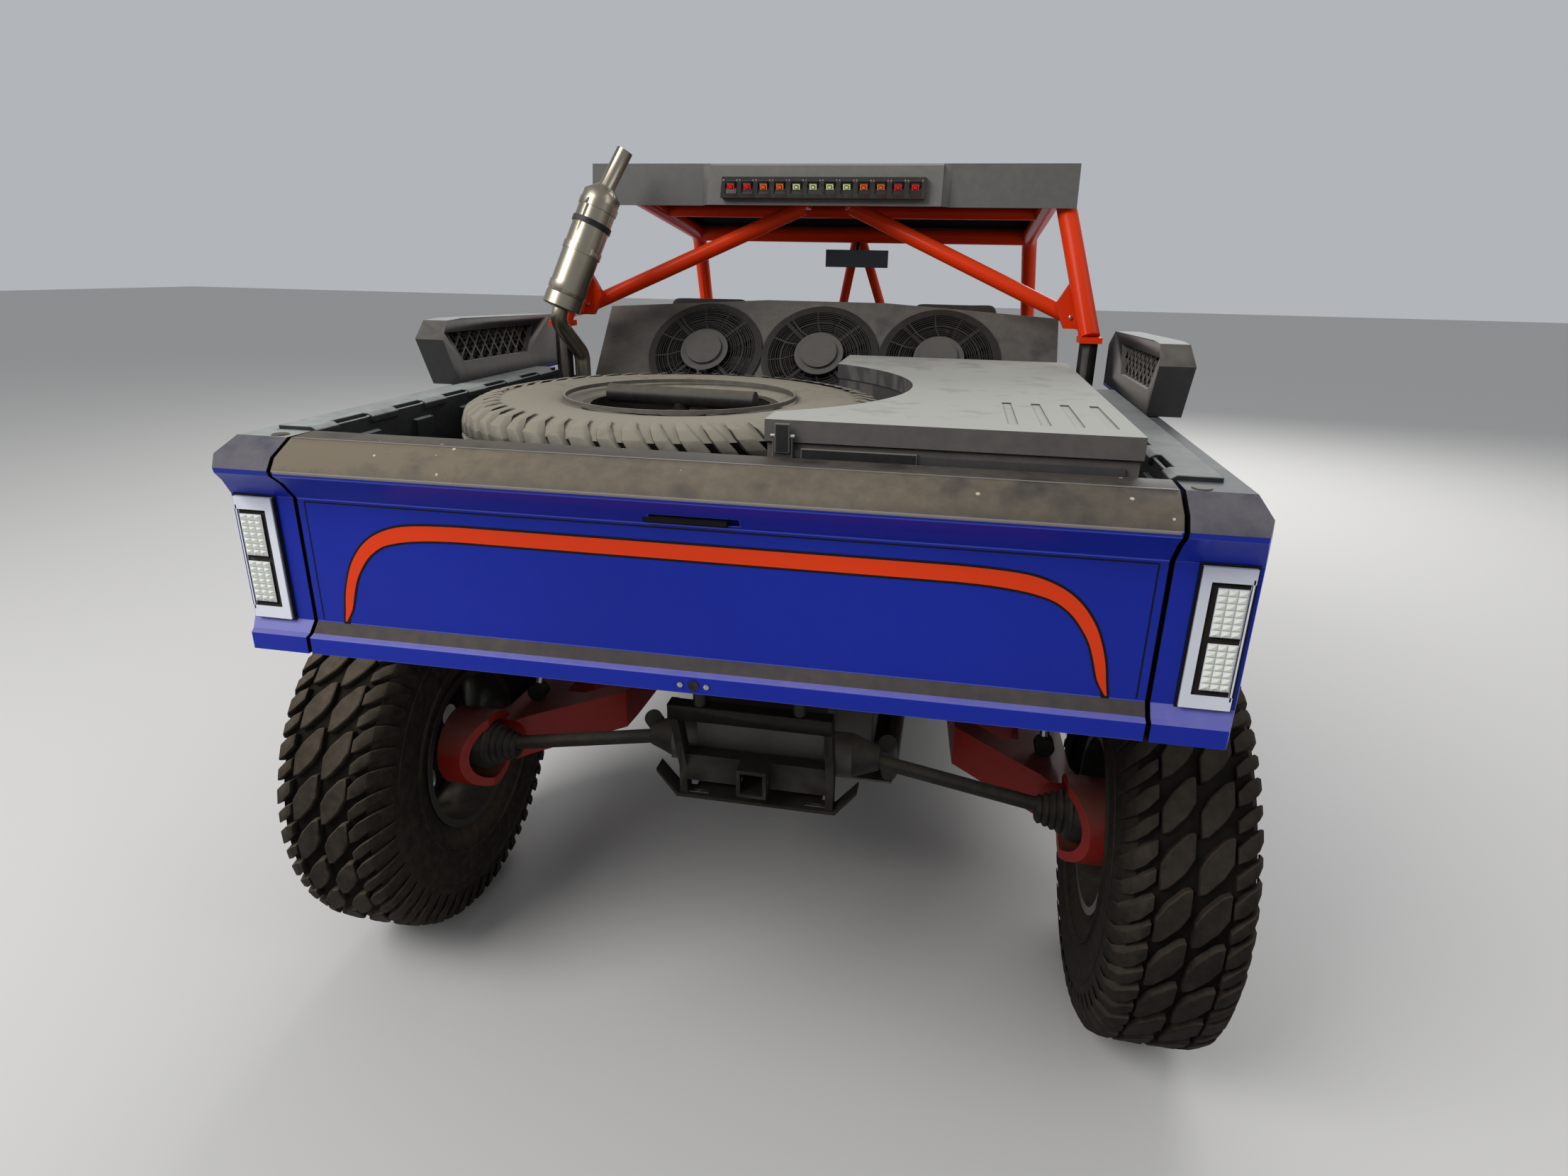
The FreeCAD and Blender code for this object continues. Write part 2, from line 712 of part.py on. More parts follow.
def muffler():
    can = rod(can_low, can_high, can_radius)
    run = (vec(can_high) - vec(can_low)).normalize()
    bands = []
    for along in (14, 118, 236):
        start = vec(can_low) + run * along
        bands.append(Part.makeCylinder(can_radius + 2.5, 18, start, run))
    cone_top = Part.makeCone(can_radius, pipe_radius, 26, vec(can_high), run)
    cone_low = Part.makeCone(can_radius, pipe_radius, 30, vec(can_low), run * -1)
    tip = rod(can_high, tip_end, pipe_radius)
    knee = vec(can_low) - run * 62
    pipe = bent_tube([vec(can_low) - run * 8, knee, (-646, -719, 1380), (-646, -719, 1010),
                      (-215, -719, 1010),
                      (-215, -719, engine_top_z + rest_gap)], pipe_radius, 42)
    return fuse([can, cone_top, cone_low, tip] + bands + [pipe])


save("muffler", [muffler()])


# Chassis frame
hitch_hang_y = -1439.0
arm_pivot_x0 = 510.0
arm_pivot_x1 = 625.0
arm_pivot_y = -600.0
arm_pivot_z = 450.0
bed_rail_z = 1021.6
cowl_post_y = 690.0
cowl_post_x = 646.0
hinge_x = 776.0
hinge_line_y = 646.0
hinge_levels = (604.0, 1004.0)
leaf_height = 40.0


def chassis_side():
    low = bent_tube([(rail_x, -1240, 560), (rail_x, -1080, rail_low_z), (rail_x, 1560, rail_low_z),
                     (rail_x, 1700, 520),
                     (rail_x, 1700, 800)], rail_r, 60)
    sill = bent_tube([(rail_x, -640, rail_low_z), (650, -560, rail_low_z), (650, 820, rail_low_z),
                      (rail_x, 1120, rail_low_z)],
                     rail_r, 80)
    upright = rod((foot[0], foot[1], 940), (foot[0], foot[1], foot[2] - 13 - rest_gap), rail_r)
    knee = bent_tube([(foot[0], foot[1], 950), (foot[0], foot[1], 800), (650, -560, rail_low_z)], rail_r, 90)
    bed_rail = bent_tube([(foot[0], foot[1], bed_rail_z), (660, -820, bed_rail_z),
                          (600, ledge_y + 81, bed_rail_z)], rail_r, 60)
    tower = rod((rail_x, front_axle_y - 60, rail_low_z), (400, front_axle_y - 60, 1000), rail_r)
    strut = rod((400, front_axle_y - 60, 1000), (cowl_post_x, cowl_post_y, 1060), rail_r)
    nose = rod((400, front_axle_y - 60, 1000), (rail_x, 1700, 790), rail_r)
    cowl_post = rod((cowl_post_x, cowl_post_y, rail_low_z), (cowl_post_x, cowl_post_y, 1242 - rest_gap),
                    rail_r)
    drop = rod((110, hitch_hang_y, 720 + rest_gap), (110, hitch_hang_y, bed_rail_z), 16)
    prop = rod((150, front_axle_y - 60, 1000), (150, front_axle_y - 60, 1097), 12)
    hinges = []
    for level in hinge_levels:
        hinges.append(slab_z([(655, 676), (672, 692), (712, 664), (hinge_x + 9, 664),
                              (hinge_x + 9, hinge_line_y - 5),
                              (700, hinge_line_y - 5)], level, level + 7.5))
        hinges.append(rod((hinge_x, hinge_line_y, level),
                          (hinge_x, hinge_line_y, level + 8 + leaf_height), hinge_pin))
    arm_rail = rod((rail_x + 8, 1262, 603), (rail_x + 8, 1693, 603), rail_r - 8)
    ears = [box(x, x + 11, arm_pivot_y - 30, arm_pivot_y + 30, rail_low_z, arm_pivot_z + 30)
            for x in (arm_pivot_x0 - 11 - rest_gap, arm_pivot_x1 + rest_gap)]
    return [low, sill, upright, knee, bed_rail, tower, strut, nose, cowl_post, drop, prop,
            arm_rail] + ears + hinges


cross_tubes = (
    # half length, y, z
    (rail_x, -950, rail_low_z),
    (rail_x, -660, rail_low_z),
    (650, -540, rail_low_z),
    (650, 60, rail_low_z),
    (rail_x, 1120, rail_low_z),
    (rail_x, 1480, rail_low_z),
    (rail_x, 1700, 790),
    (400, front_axle_y - 60, 1000),
    (cowl_post_x, cowl_post_y + 10, 1120),
    (605, ledge_y + 141, bed_rail_z),
    (620, hitch_hang_y, bed_rail_z),
    (660, -830, bed_rail_z),
)


def chassis_frame():
    parts = []
    for shape in chassis_side():
        parts += pair(shape)
    for half, y, z in cross_tubes:
        parts.append(rod((-half, y, z), (half, y, z), rail_r - 2))
    parts.append(bent_tube([(-foot[0], foot[1], 1150), (-foot[0], -665, 1150), (foot[0], -665, 1150),
                            (foot[0], foot[1], 1150)],
                           20, 30))
    for x in (-420, 420):
        top_a = lean_point(14, panel_low - 0.5)
        top_b = lean_point(52, panel_low - 0.5)
        parts.append(slab_x([top_a, top_b, (-650, 1150), (-680, 1150)], x - 20, x + 20))
    return fuse(parts)


save("chassis_frame", [chassis_frame()])


# Floor of the cab, bulkheads, tunnel and sills
def cabin_tub():
    right = [(cab_half, cab_rear_y), (cab_half, 630), (610, 636), (610, 780), (470, 870), (470, cab_front_y)]
    deck = slab_z([(-x, y) for x, y in reversed(right)] + right, rail_low_z + rail_r + 0.4,
                  rail_low_z + rail_r + 8)
    base = rail_low_z + rail_r + 0.4
    rear = box(-cab_half, cab_half, cab_rear_y, cab_rear_y + panel, base, 1150)
    toe = slab_x([(cab_front_y, base), (cab_front_y, base + 8), (cab_front_y - 180, 900),
                  (cab_front_y - 190, 900),
                  (cab_front_y - 10, base)], -470, 470)
    tunnel = slab_y([(-110, base + 2), (-90, 620), (90, 620), (110, base + 2)], cab_rear_y + 3, 900)
    sill = slab_y([(660, base + 2), (660, sill_z), (700, sill_z), (740, base + 30), (740, base)],
                  cab_rear_y, 630)
    kick = slab_y([(466, base), (474, base), (474, 900), (466, 900)], 870, cab_front_y)
    seat_box = box(150, 600, -330, 120, base + 2, 560)
    return fuse([deck, rear, toe, tunnel] + pair(sill) + pair(kick) + pair(seat_box))


save("cabin_tub", [cabin_tub()])

# Seats
seat_x = 365.0


def seat():
    cushion = slab_x([(-300, 560.4), (150, 560.4), (180, 700), (150, 735), (-60, 690), (-290, 680)],
                     seat_x - 235, seat_x + 235)
    back = slab_x([(-300, 640), (-190, 690), (-330, 1360), (-345, 1545), (-365, 1565), (-425, 1560),
                   (-430, 1540), (-420, 1400)],
                  seat_x - 215, seat_x + 215)
    shoulder = [slab_y([(seat_x + s * 134, 1580), (seat_x + s * 134, 1440), (seat_x + s * 216, 1330),
                        (seat_x + s * 216, 1580)], -500, -200)
                for s in (-1, 1)]
    for cut in shoulder:
        back = back.cut(cut)
    bolsters = []
    for s in (-1, 1):
        bolsters.append(slab_x([(-240, 640), (-100, 740), (-235, 1180), (-360, 1300), (-340, 1000)],
                               seat_x + s * 235 - 22, seat_x + s * 235 + 22))
        bolsters.append(slab_x([(-240, 600), (140, 600), (160, 770), (40, 780), (-200, 740)],
                               seat_x + s * 235 - 22, seat_x + s * 235 + 22))
    return fuse([cushion, back] + bolsters)


save("seats", pair(seat()))

# Dashboard, steering column and wheel
wheel_centre = (-seat_x, 262.0, 1128.0)
wheel_tilt = 24.0
wheel_radius = 168.0
column_radius = 19.0


def column_axis():
    a = math.radians(wheel_tilt)
    return FreeCAD.Vector(0, math.cos(a), -math.sin(a))


def dashboard():
    section = [(470, 1080), (500, 1190), (560, 1240), (652, 1240), (652, 1100), (600, 990), (520, 985)]
    body = slab_x(section, -610, 610)
    hood = slab_x([(440, 1170), (455, 1215), (520, 1252), (600, 1240), (520, 1150)], -seat_x - 130,
                  -seat_x + 130)
    hollow = slab_x([(500, 960), (520, 1060), (600, 1150), (690, 1150), (690, 960)], -560, 560)
    ribs = [box(x - 20, x + 20, 630, cowl_post_y + 10 - 20 - rest_gap, 1106, 1180) for x in (-320, 320)]
    start = vec(wheel_centre) + column_axis() * 60
    passage = Part.makeCylinder(column_radius + 0.3, 330, start, column_axis())
    return fuse([fuse([body, hood]).cut(hollow)] + ribs).cut(passage)


def steering_column():
    start = vec(wheel_centre) + column_axis() * 52
    bore = Part.makeCylinder(12.5, 30, start, column_axis())
    return Part.makeCylinder(column_radius, 330, start, column_axis()).cut(bore)


def steering_wheel():
    centre = vec(wheel_centre)
    axis = column_axis()
    ring = Part.makeTorus(wheel_radius, 14, FreeCAD.Vector(0, 0, 0), FreeCAD.Vector(0, 0, 1))
    hub = Part.makeCylinder(42, 34, FreeCAD.Vector(0, 0, -8))
    shaft = Part.makeCylinder(12, 84, FreeCAD.Vector(0, 0, -14))
    spokes = [box(-12, 12, 30, wheel_radius - 4, -3, 3) for _ in range(3)]
    for index, spoke in enumerate(spokes):
        spoke.rotate(FreeCAD.Vector(0, 0, 0), FreeCAD.Vector(0, 0, 1), 90 + 120 * index)
    wheel = fuse([ring, hub, shaft] + spokes)
    turn = FreeCAD.Rotation(FreeCAD.Vector(0, 0, 1), axis)
    wheel.Placement = FreeCAD.Placement(centre, turn)
    return wheel


save("dashboard", [dashboard()])
save("steering_column", [steering_column()])
save("steering_wheel", [steering_wheel()])


def rear_view_mirror():
    stem_z = header_end[2] - tube - rest_gap
    stem = rod((0, 262, stem_z), (0, 240, header_end[2] - 53), 8)
    glass = box(-110, 110, 226, 244, header_end[2] - 107, header_end[2] - 49)
    return fuse([stem, glass])


save("rear_view_mirror", [rear_view_mirror()])

# Hood, fenders and nose
hood_sections = (
    # y, half width low, z low, half width top, z top
    (700, 560, 1176, 470, cowl_z),
    (1150, 500, 1104, 420, 1168),
    (1740, 420, 960, 340, 1016),
)
sheet = 8.0


def hood_panel():
    sections = []
    for y, low, z_low, top, z_top in hood_sections:
        outer = [(-low, z_low), (-top, z_top), (top, z_top), (low, z_low)]
        inner = [(low - sheet, z_low), (top - sheet, z_top - sheet), (-top + sheet, z_top - sheet),
                 (-low + sheet, z_low)]
        sections.append((y, outer + inner))
    bulge = loft_y([(760, [(-250, 1228), (-200, 1268), (200, 1268), (250, 1228)]),
                    (1500, [(-170, 1070), (-130, 1092), (130, 1092), (170, 1070)])])
    hood = fuse([loft_y(sections), bulge])
    for side in (-1, 1):
        for y in (880, 940, 1000, 1060):
            x0, x1 = sorted((side * 285, side * 385))
            hood = hood.cut(box(x0, x1, y, y + 22, 1090, 1300))
    return hood


fender_sections = (
    # y, edge x, edge z, lip z
    (672, 770, 1130, 1060),
    (930, 860, 1070, 985),
    (1150, 884, 1040, 962),
    (1419, 900, 1010, 940),
    (1740, 866, 950, 915),
    (1800, 850, 930, 905),
)


def hood_low(y):
    """Low edge of the hood at y, carried on straight past its ends."""
    stations = [row for row in hood_sections if row[0] > y][:1] or list(hood_sections[-1:])
    after = hood_sections.index(stations[0]) or 1
    y0, x0, z0 = hood_sections[after - 1][:3]
    y1, x1, z1 = hood_sections[after][:3]
    t = (y - y0) / (y1 - y0)
    return x0 + t * (x1 - x0), z0 + t * (z1 - z0)


def front_fender():
    sections = []
    for y, x_edge, z_edge, z_lip in fender_sections:
        x_in, z_in = hood_low(y)
        x_in += 0.5
        outer = [(x_in, z_in), (x_edge, z_edge), (x_edge + 8, z_lip)]
        inner = [(x_edge, z_lip), (x_edge - sheet, z_edge - sheet), (x_in, z_in - sheet)]
        sections.append((y, outer + inner))
    lower = box(cab_half + 44, cab_half + 44 + sheet, 668, 900, sill_z, 1080)
    shelf = box(cab_half + 20, 780, 672, 712, 1070, 1120)
    post_hole = rod((cowl_post_x, cowl_post_y, 900), (cowl_post_x, cowl_post_y, 1400), rail_r + 2)
    return fuse([loft_y(sections), lower, shelf]).cut(post_hole)


save("hood_panel", [hood_panel()])
save("front_fenders", pair(front_fender()))


lamp_low_z = 820.0
lamp_high_z = 900.0
lamp_in_x = 300.0
lamp_out_x = 450.0


fascia_section = (
    # y, z of the nose seen from the side
    (1744, 936), (1790, 900), (1804, 760), (1790, 640), (1720, 640), (1720, 936),
)


def front_fascia():
    body = slab_x(fascia_section, -480, 480)
    hollow = box(-440, 440, 1700, 1772, 600, 922)
    ribs = [box(x - 10, x + 10, 1700 + rail_r + rest_gap, 1775, 700, 780) for x in (-rail_x, rail_x)]
    mouth = box(-250, 250, 1700, 1900, 690, 850)
    shape = body.cut(hollow).cut(mouth)
    slats = [box(-255, 255, 1776, 1788, z, z + 8) for z in range(708, 850, 22)]
    slats += [box(x - 5, x + 5, 1774, 1786, 685, 855) for x in (-125, 0, 125)]
    shape = fuse([shape] + slats)
    for window in pair(box(lamp_in_x, lamp_out_x, 1700, 1900, lamp_low_z, lamp_high_z)):
        shape = shape.cut(window)
    return fuse([shape] + ribs)


def headlight():
    return slab_x([(1773, lamp_low_z + 0.3), (1796, lamp_low_z + 0.3), (1789, lamp_high_z - 0.3),
                   (1773, lamp_high_z - 0.3)],
                  lamp_in_x + 0.3, lamp_out_x - 0.3)


save("front_fascia", [front_fascia()])
save("headlights", pair(headlight()))


def front_bumper():
    start = 1700 + rail_r + rest_gap
    loop = bent_tube([(-rail_x, start, 600), (-rail_x, 1850, 600), (rail_x, 1850, 600),
                      (rail_x, start, 600)], tube, 60)
    upper = bent_tube([(-rail_x + 30, 1850, 600), (-210, 1850, 800), (210, 1850, 800),
                       (rail_x - 30, 1850, 600)], 20, 50)
    return fuse([loop, upper])


save("front_bumper", [front_bumper()])


def belly_skid():
    top = rail_low_z - rail_r - rest_gap
    return slab_x([(-1080, top - 6), (1572, top - 6), (1722, 501), (1717, 505), (1569.5, top),
                   (-1080, top)], -300, 300)


save("belly_skid", [belly_skid()])


# Engine and transaxle as plain masses
save("engine_block", [box(-240, 240, -1010, -590, rail_low_z + rail_r - 2 + 0.3, engine_top_z)])


def transaxle():
    case = box(-150, 150, -1332, -1100, 458, 650)
    outputs = [rod((side * 140, rear_axle_y, 542), (side * 215, rear_axle_y, 542), 52) for side in (-1, 1)]
    mount = box(-120, 120, -1110, -1010.3, 440, 560)
    return fuse([case, mount] + outputs)


save("transaxle", [transaxle()])

# Rear trailing arms with the ring round the shaft boot and the hub carrier


boot_pocket = 76.0
carrier_radius = 98.0
arm_plan = (
    # x, y of the boxed arm from its inner end round by the pivot to the wheel
    (450, -1010), (432, -790), (512, -655), (514, -572), (620, -572), (624, -642), (714, -900), (722, -1150),
    (736, -1186), (736, -1330), (716, -1292), (650, -1200),
)
arm_side = (
    # y, z of the box seen from the side
    (-560, 414), (-700, 414), (-940, 392), (-1400, 384), (-1400, 500), (-560, 500),
)


def rear_arm():
    plate = slab_z(arm_plan, 360, 520).common(slab_x(arm_side, 400, 800))
    window = slab_z([(500, -860), (500, -980), (560, -1040), (610, -1040), (610, -860)], 350, 530)
    carrier = rod((700, rear_axle_y, hub_z), (806, rear_axle_y, hub_z), carrier_radius)
    slant = slab_z([(690, -1400), (760, -1400), (690, -1290)], 300, 600)
    hollow = rod((560, rear_axle_y, hub_z), (776, rear_axle_y, hub_z), boot_pocket)
    stub = rod((784, rear_axle_y, hub_z), (wheel_x + disc_offset, rear_axle_y, hub_z), stub_radius)
    pivot = rod((arm_pivot_x0, arm_pivot_y, arm_pivot_z), (arm_pivot_x1, arm_pivot_y, arm_pivot_z), 32)
    body = fuse([plate.cut(window), carrier.cut(slant), pivot]).cut(hollow)
    return fuse([body, stub])


save("rear_arms", pair(rear_arm()))


def bellows(x0, x1, r0, r1, centre):
    steps = 5
    ridge = [(x0, 12)]
    for index in range(steps):
        t = index / steps
        x = x0 + t * (x1 - x0)
        r = r0 + t * (r1 - r0)
        ridge += [(x, r - 5), (x + 0.4 * (x1 - x0) / steps, r + 3), (x + 0.7 * (x1 - x0) / steps, r + 3)]
    return revolve_x(ridge + [(x1, r1), (x1, 12)], centre)


def rear_driveshaft():
    inner_x = 215 + rest_gap
    shaft = rod((inner_x + 20, rear_axle_y, 541), (700, rear_axle_y, 458), 17)
    boot = bellows(636, 712, 30, 57, (0, rear_axle_y, 458))
    joint = rod((710, rear_axle_y, 450), (762, rear_axle_y, 447), 56)
    inner = Part.makeCone(50, 28, 60, FreeCAD.Vector(inner_x, rear_axle_y, 542), FreeCAD.Vector(1, 0, 0))
    return fuse([shaft, boot, joint, inner])


save("rear_driveshafts", pair(rear_driveshaft()))


# Rear hitch: sloping uprights, cross bars, receiver and a skid with upturned ends
skid_half = 187.0
skid_tip = 235.0
skid_low_z = 442.0
skid_tip_z = 511.0
skid_rear_y = -1386.0
upright_x0 = 163.0
upright_x1 = 181.0
receiver_half = 25.4
receiver_z = 520.0
receiver_mouth_y = -1424.0
receiver_pin_y = receiver_mouth_y + 20


def rear_hitch():
    bend = [(-skid_tip, skid_tip_z - 8), (-skid_half, skid_low_z), (skid_half, skid_low_z),
            (skid_tip, skid_tip_z - 8),
            (skid_tip, skid_tip_z), (skid_half - 3, skid_low_z + 8), (3 - skid_half, skid_low_z + 8),
            (-skid_tip, skid_tip_z)]
    lip = slab_y(bend, skid_rear_y, skid_rear_y + 46)
    for x in (-140, 140):
        lip = lip.cut(box(x - 26, x + 26, skid_rear_y + 14, skid_rear_y + 28, skid_low_z - 5,
                          skid_low_z + 12))
    skid = box(-150, 150, skid_rear_y + 40, -1130, skid_low_z, skid_low_z + 8)
    upright = slab_x([(-1458, 720), (-1420, 720), (-1342, 530), (-1342, skid_low_z + 4),
                      (-1378, skid_low_z + 4),
                      (-1378, 520)], upright_x0, upright_x1)
    top = box(-upright_x1, upright_x1, -1456, -1422, 684, 720)
    bar = box(-upright_x1, upright_x1, -1378, -1342, 486, 554)
    sleeve = box(-34, 34, receiver_mouth_y, -1342, receiver_z - 34, receiver_z + 34)
    receiver = box(-receiver_half, receiver_half, receiver_mouth_y - 20, -1335, receiver_z - receiver_half,
                   receiver_z + receiver_half)
    pin_hole = rod((-40, receiver_pin_y, receiver_z), (40, receiver_pin_y, receiver_z), 8)
    return fuse([lip, skid, top, bar, sleeve] + pair(upright)).cut(receiver).cut(pin_hole)


save("rear_hitch", [rear_hitch()])


# Front suspension: upper and lower arms, knuckles, rack and dampers
arm_levels = (
    # eye height, plate thickness, half spread at the frame, height at the frame
    (lower_joint_z, 30.0, 190.0, rail_low_z),
    (upper_joint_z, 26.0, 150.0, 600.0),
)
eye_radius = 27.0
pin_radius = 11.0
bush_radius = 24.0
arm_root_x = rail_x + rail_r + bush_radius + rest_gap


def wishbone(level, thick, spread, root_z):
    root = arm_root_x
    width = 38.0
    centre = FreeCAD.Vector(kingpin_x, front_axle_y, level)
    outer = [(root, front_axle_y - spread), (kingpin_x, front_axle_y - 20), (kingpin_x, front_axle_y + 20),
             (root, front_axle_y + spread)]
    inner = [(root - 1, front_axle_y - spread + width), (kingpin_x - 90, front_axle_y - 8),
             (kingpin_x - 90, front_axle_y + 8), (root - 1, front_axle_y + spread - width)]
    plate = slab_z(outer, level - thick / 2, level + thick / 2)
    plate = plate.cut(slab_z(inner, level - thick, level + thick))
    rise = math.degrees(math.atan2(root_z - level, kingpin_x - root))
    plate.rotate(centre, FreeCAD.Vector(0, 1, 0), rise)
    bottom = centre - FreeCAD.Vector(0, 0, thick / 2)
    bushes = [rod((root, front_axle_y + s * (spread - 40), root_z),
                  (root, front_axle_y + s * (spread + 6), root_z), bush_radius)
              for s in (-1, 1)]
    clear = Part.makeCylinder(eye_radius + 10, 40, centre + FreeCAD.Vector(0, 0, thick / 2))
    below = Part.makeCylinder(eye_radius + 10, 40, centre - FreeCAD.Vector(0, 0, thick / 2 + 40))
    eye = Part.makeCylinder(eye_radius, thick, bottom)
    hole = Part.makeCylinder(pin_radius + 0.5, thick + 4, bottom - FreeCAD.Vector(0, 0, 2))
    return fuse([plate.cut(clear).cut(below), eye] + bushes).cut(hole)


save("front_arms", [shape for level in arm_levels for shape in pair(wishbone(*level))])


steer_arm_z = 489.6


def knuckle():
    low, low_thick = arm_levels[0][:2]
    high, high_thick = arm_levels[1][:2]
    post_low = low + low_thick / 2 + 0.3
    post_high = high - high_thick / 2 - 0.3
    post = box(kingpin_x - 24, kingpin_x + 22, front_axle_y - 26, front_axle_y + 26, post_low, post_high)
    pins = Part.makeCylinder(pin_radius, post_high - post_low + high_thick + low_thick + 4,
                             FreeCAD.Vector(kingpin_x, front_axle_y, low - low_thick / 2 - 2))
    flange = rod((kingpin_x + 18, front_axle_y, hub_z), (kingpin_x + 40, front_axle_y, hub_z), 60)
    stub = rod((kingpin_x, front_axle_y, hub_z), (wheel_x + disc_offset, front_axle_y, hub_z), stub_radius)
    arm = box(kingpin_x - 17, kingpin_x + 17, front_axle_y - steer_arm - 20, front_axle_y,
              steer_arm_z - 16, steer_arm_z)
    return fuse([post, pins, flange, stub, arm])


save("knuckle_left", [mirrored(knuckle())])
save("knuckle_right", [knuckle()])


# Rack and tie rods, which slide across as one piece over the steering arms
tie_z = steer_arm_z + 0.4
tie_y = front_axle_y - steer_arm


def tie_rods():
    bar = rod((-kingpin_x, tie_y, tie_z + 12), (kingpin_x, tie_y, tie_z + 12), 11)
    ends = [Part.makeCylinder(18, 24, FreeCAD.Vector(s * kingpin_x, tie_y, tie_z)) for s in (-1, 1)]
    return fuse([bar] + ends)


def steering_rack():
    case = rod((-190, tie_y, tie_z + 12), (190, tie_y, tie_z + 12), 34)
    case = case.cut(rod((-200, tie_y, tie_z + 12), (200, tie_y, tie_z + 12), 11.5))
    foot = box(-60, 60, tie_y - 14, tie_y + 14, rail_low_z - rail_r + 0.4, tie_z - 12)
    return fuse([case, foot])


save("tie_rods", [tie_rods()])
save("steering_rack", [steering_rack()])


def front_shaft():
    start = (170.4, front_axle_y + 10, 450)
    end = (640, front_axle_y + 4, hub_z)
    shaft = rod(start, end, 15)
    boot = bellows(end[0] - 10, end[0] + 60, 26, 44, (0, end[1], end[2]))
    inner = Part.makeCone(46, 28, 60, FreeCAD.Vector(*start), FreeCAD.Vector(1, 0, 0))
    return fuse([shaft, boot, inner])


save("front_driveshafts", pair(front_shaft()))


def front_diff():
    return fuse([box(-110, 110, front_axle_y - 60, front_axle_y + 120, rail_low_z + 20, 540),
                 rod((-170, front_axle_y + 10, 450), (170, front_axle_y + 10, 450), 48)])


save("front_diff", [front_diff()])

# Dampers, each a body, a rod and a coil spring drawn as a sleeve
dampers = (
    # name, lower end, upper end
    ("front", (600.0, front_axle_y - 51.0, 616.0), (438.0, front_axle_y - 51.0, 950.0)),
    ("rear", (664.0, -1100.0, 524.3), (652.0, -900.0, 975.2)),
)


def damper(low, high):
    run = (vec(high) - vec(low))
    length = run.Length
    run.normalize()
    body = Part.makeCylinder(36, length * 0.52, vec(low) + run * (length * 0.45), run)
    shaft = Part.makeCylinder(11, length * 0.5, vec(low), run)
    sleeve = Part.makeCylinder(52, length * 0.66, vec(low) + run * (length * 0.12), run)
    eyes = [rod((low[0], low[1] - 18, low[2]), (low[0], low[1] + 18, low[2]), 24),
            rod((high[0], high[1] - 18, high[2]), (high[0], high[1] + 18, high[2]), 24)]
    return fuse([body, shaft, sleeve] + eyes)


save("shocks", [shape for name, low, high in dampers for shape in pair(damper(low, high))])

# Half doors, hinged at the front
door_x0 = 744.0
door_x1 = 772.0
door_outline = ((door_front_y, 520), (door_front_y, 1120), (500, 1140), (120, 1076), (-220, 1096),
                (door_rear_y, 1300),
                (door_rear_y, 760), (-420, 520), (-380, 476), (600, 476))


door_panel = ((540, 560), (540, 1040), (130, 1000), (-210, 1018), (-420, 1130), (-420, 790), (-300, 560))


def door():
    skin = slab_x(door_outline, door_x0, door_x1)
    inner = slab_x(door_panel, door_x0 - 1, door_x1 - 10)
    recess = slab_x([(y * 0.8 + 12, z * 0.6 + 330) for y, z in door_panel], door_x1 - 4, door_x1 + 1)
    parts = [skin.cut(inner).cut(recess)]
    for level in hinge_levels:
        low = level + 8
        parts.append(box(door_x1 - 2, hinge_x + 1, door_front_y - 50, hinge_line_y, low, low + leaf_height))
        parts.append(rod((hinge_x, hinge_line_y, low), (hinge_x, hinge_line_y, low + leaf_height), 9))
    shape = fuse(parts)
    for level in hinge_levels:
        shape = shape.cut(rod((hinge_x, hinge_line_y, level), (hinge_x, hinge_line_y, level + 60),
                              hinge_pin + 0.5))
    return shape


save("door_left", [mirrored(door())])
save("door_right", [door()])
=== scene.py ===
import bpy
import bmesh
import json
import math
from mathutils import Matrix, Vector

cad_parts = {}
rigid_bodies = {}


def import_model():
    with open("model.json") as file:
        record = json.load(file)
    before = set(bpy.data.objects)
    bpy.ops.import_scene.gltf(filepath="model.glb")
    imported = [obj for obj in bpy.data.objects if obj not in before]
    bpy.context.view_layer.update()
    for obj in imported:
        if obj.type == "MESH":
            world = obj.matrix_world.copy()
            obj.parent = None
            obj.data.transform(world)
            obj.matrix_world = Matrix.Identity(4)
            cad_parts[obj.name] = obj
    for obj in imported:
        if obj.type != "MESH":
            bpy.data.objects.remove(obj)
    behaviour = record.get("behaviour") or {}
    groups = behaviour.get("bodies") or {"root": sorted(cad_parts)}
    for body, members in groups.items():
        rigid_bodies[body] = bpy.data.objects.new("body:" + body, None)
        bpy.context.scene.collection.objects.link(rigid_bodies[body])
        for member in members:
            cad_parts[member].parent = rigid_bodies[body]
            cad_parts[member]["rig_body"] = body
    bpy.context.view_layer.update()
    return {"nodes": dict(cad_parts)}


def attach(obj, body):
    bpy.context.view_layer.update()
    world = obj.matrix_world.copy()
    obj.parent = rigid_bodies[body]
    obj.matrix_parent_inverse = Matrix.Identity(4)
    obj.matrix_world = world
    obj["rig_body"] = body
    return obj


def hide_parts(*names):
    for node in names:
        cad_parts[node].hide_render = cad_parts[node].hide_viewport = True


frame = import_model()
nodes = frame["nodes"]
mm = 0.001
print("frame loaded")


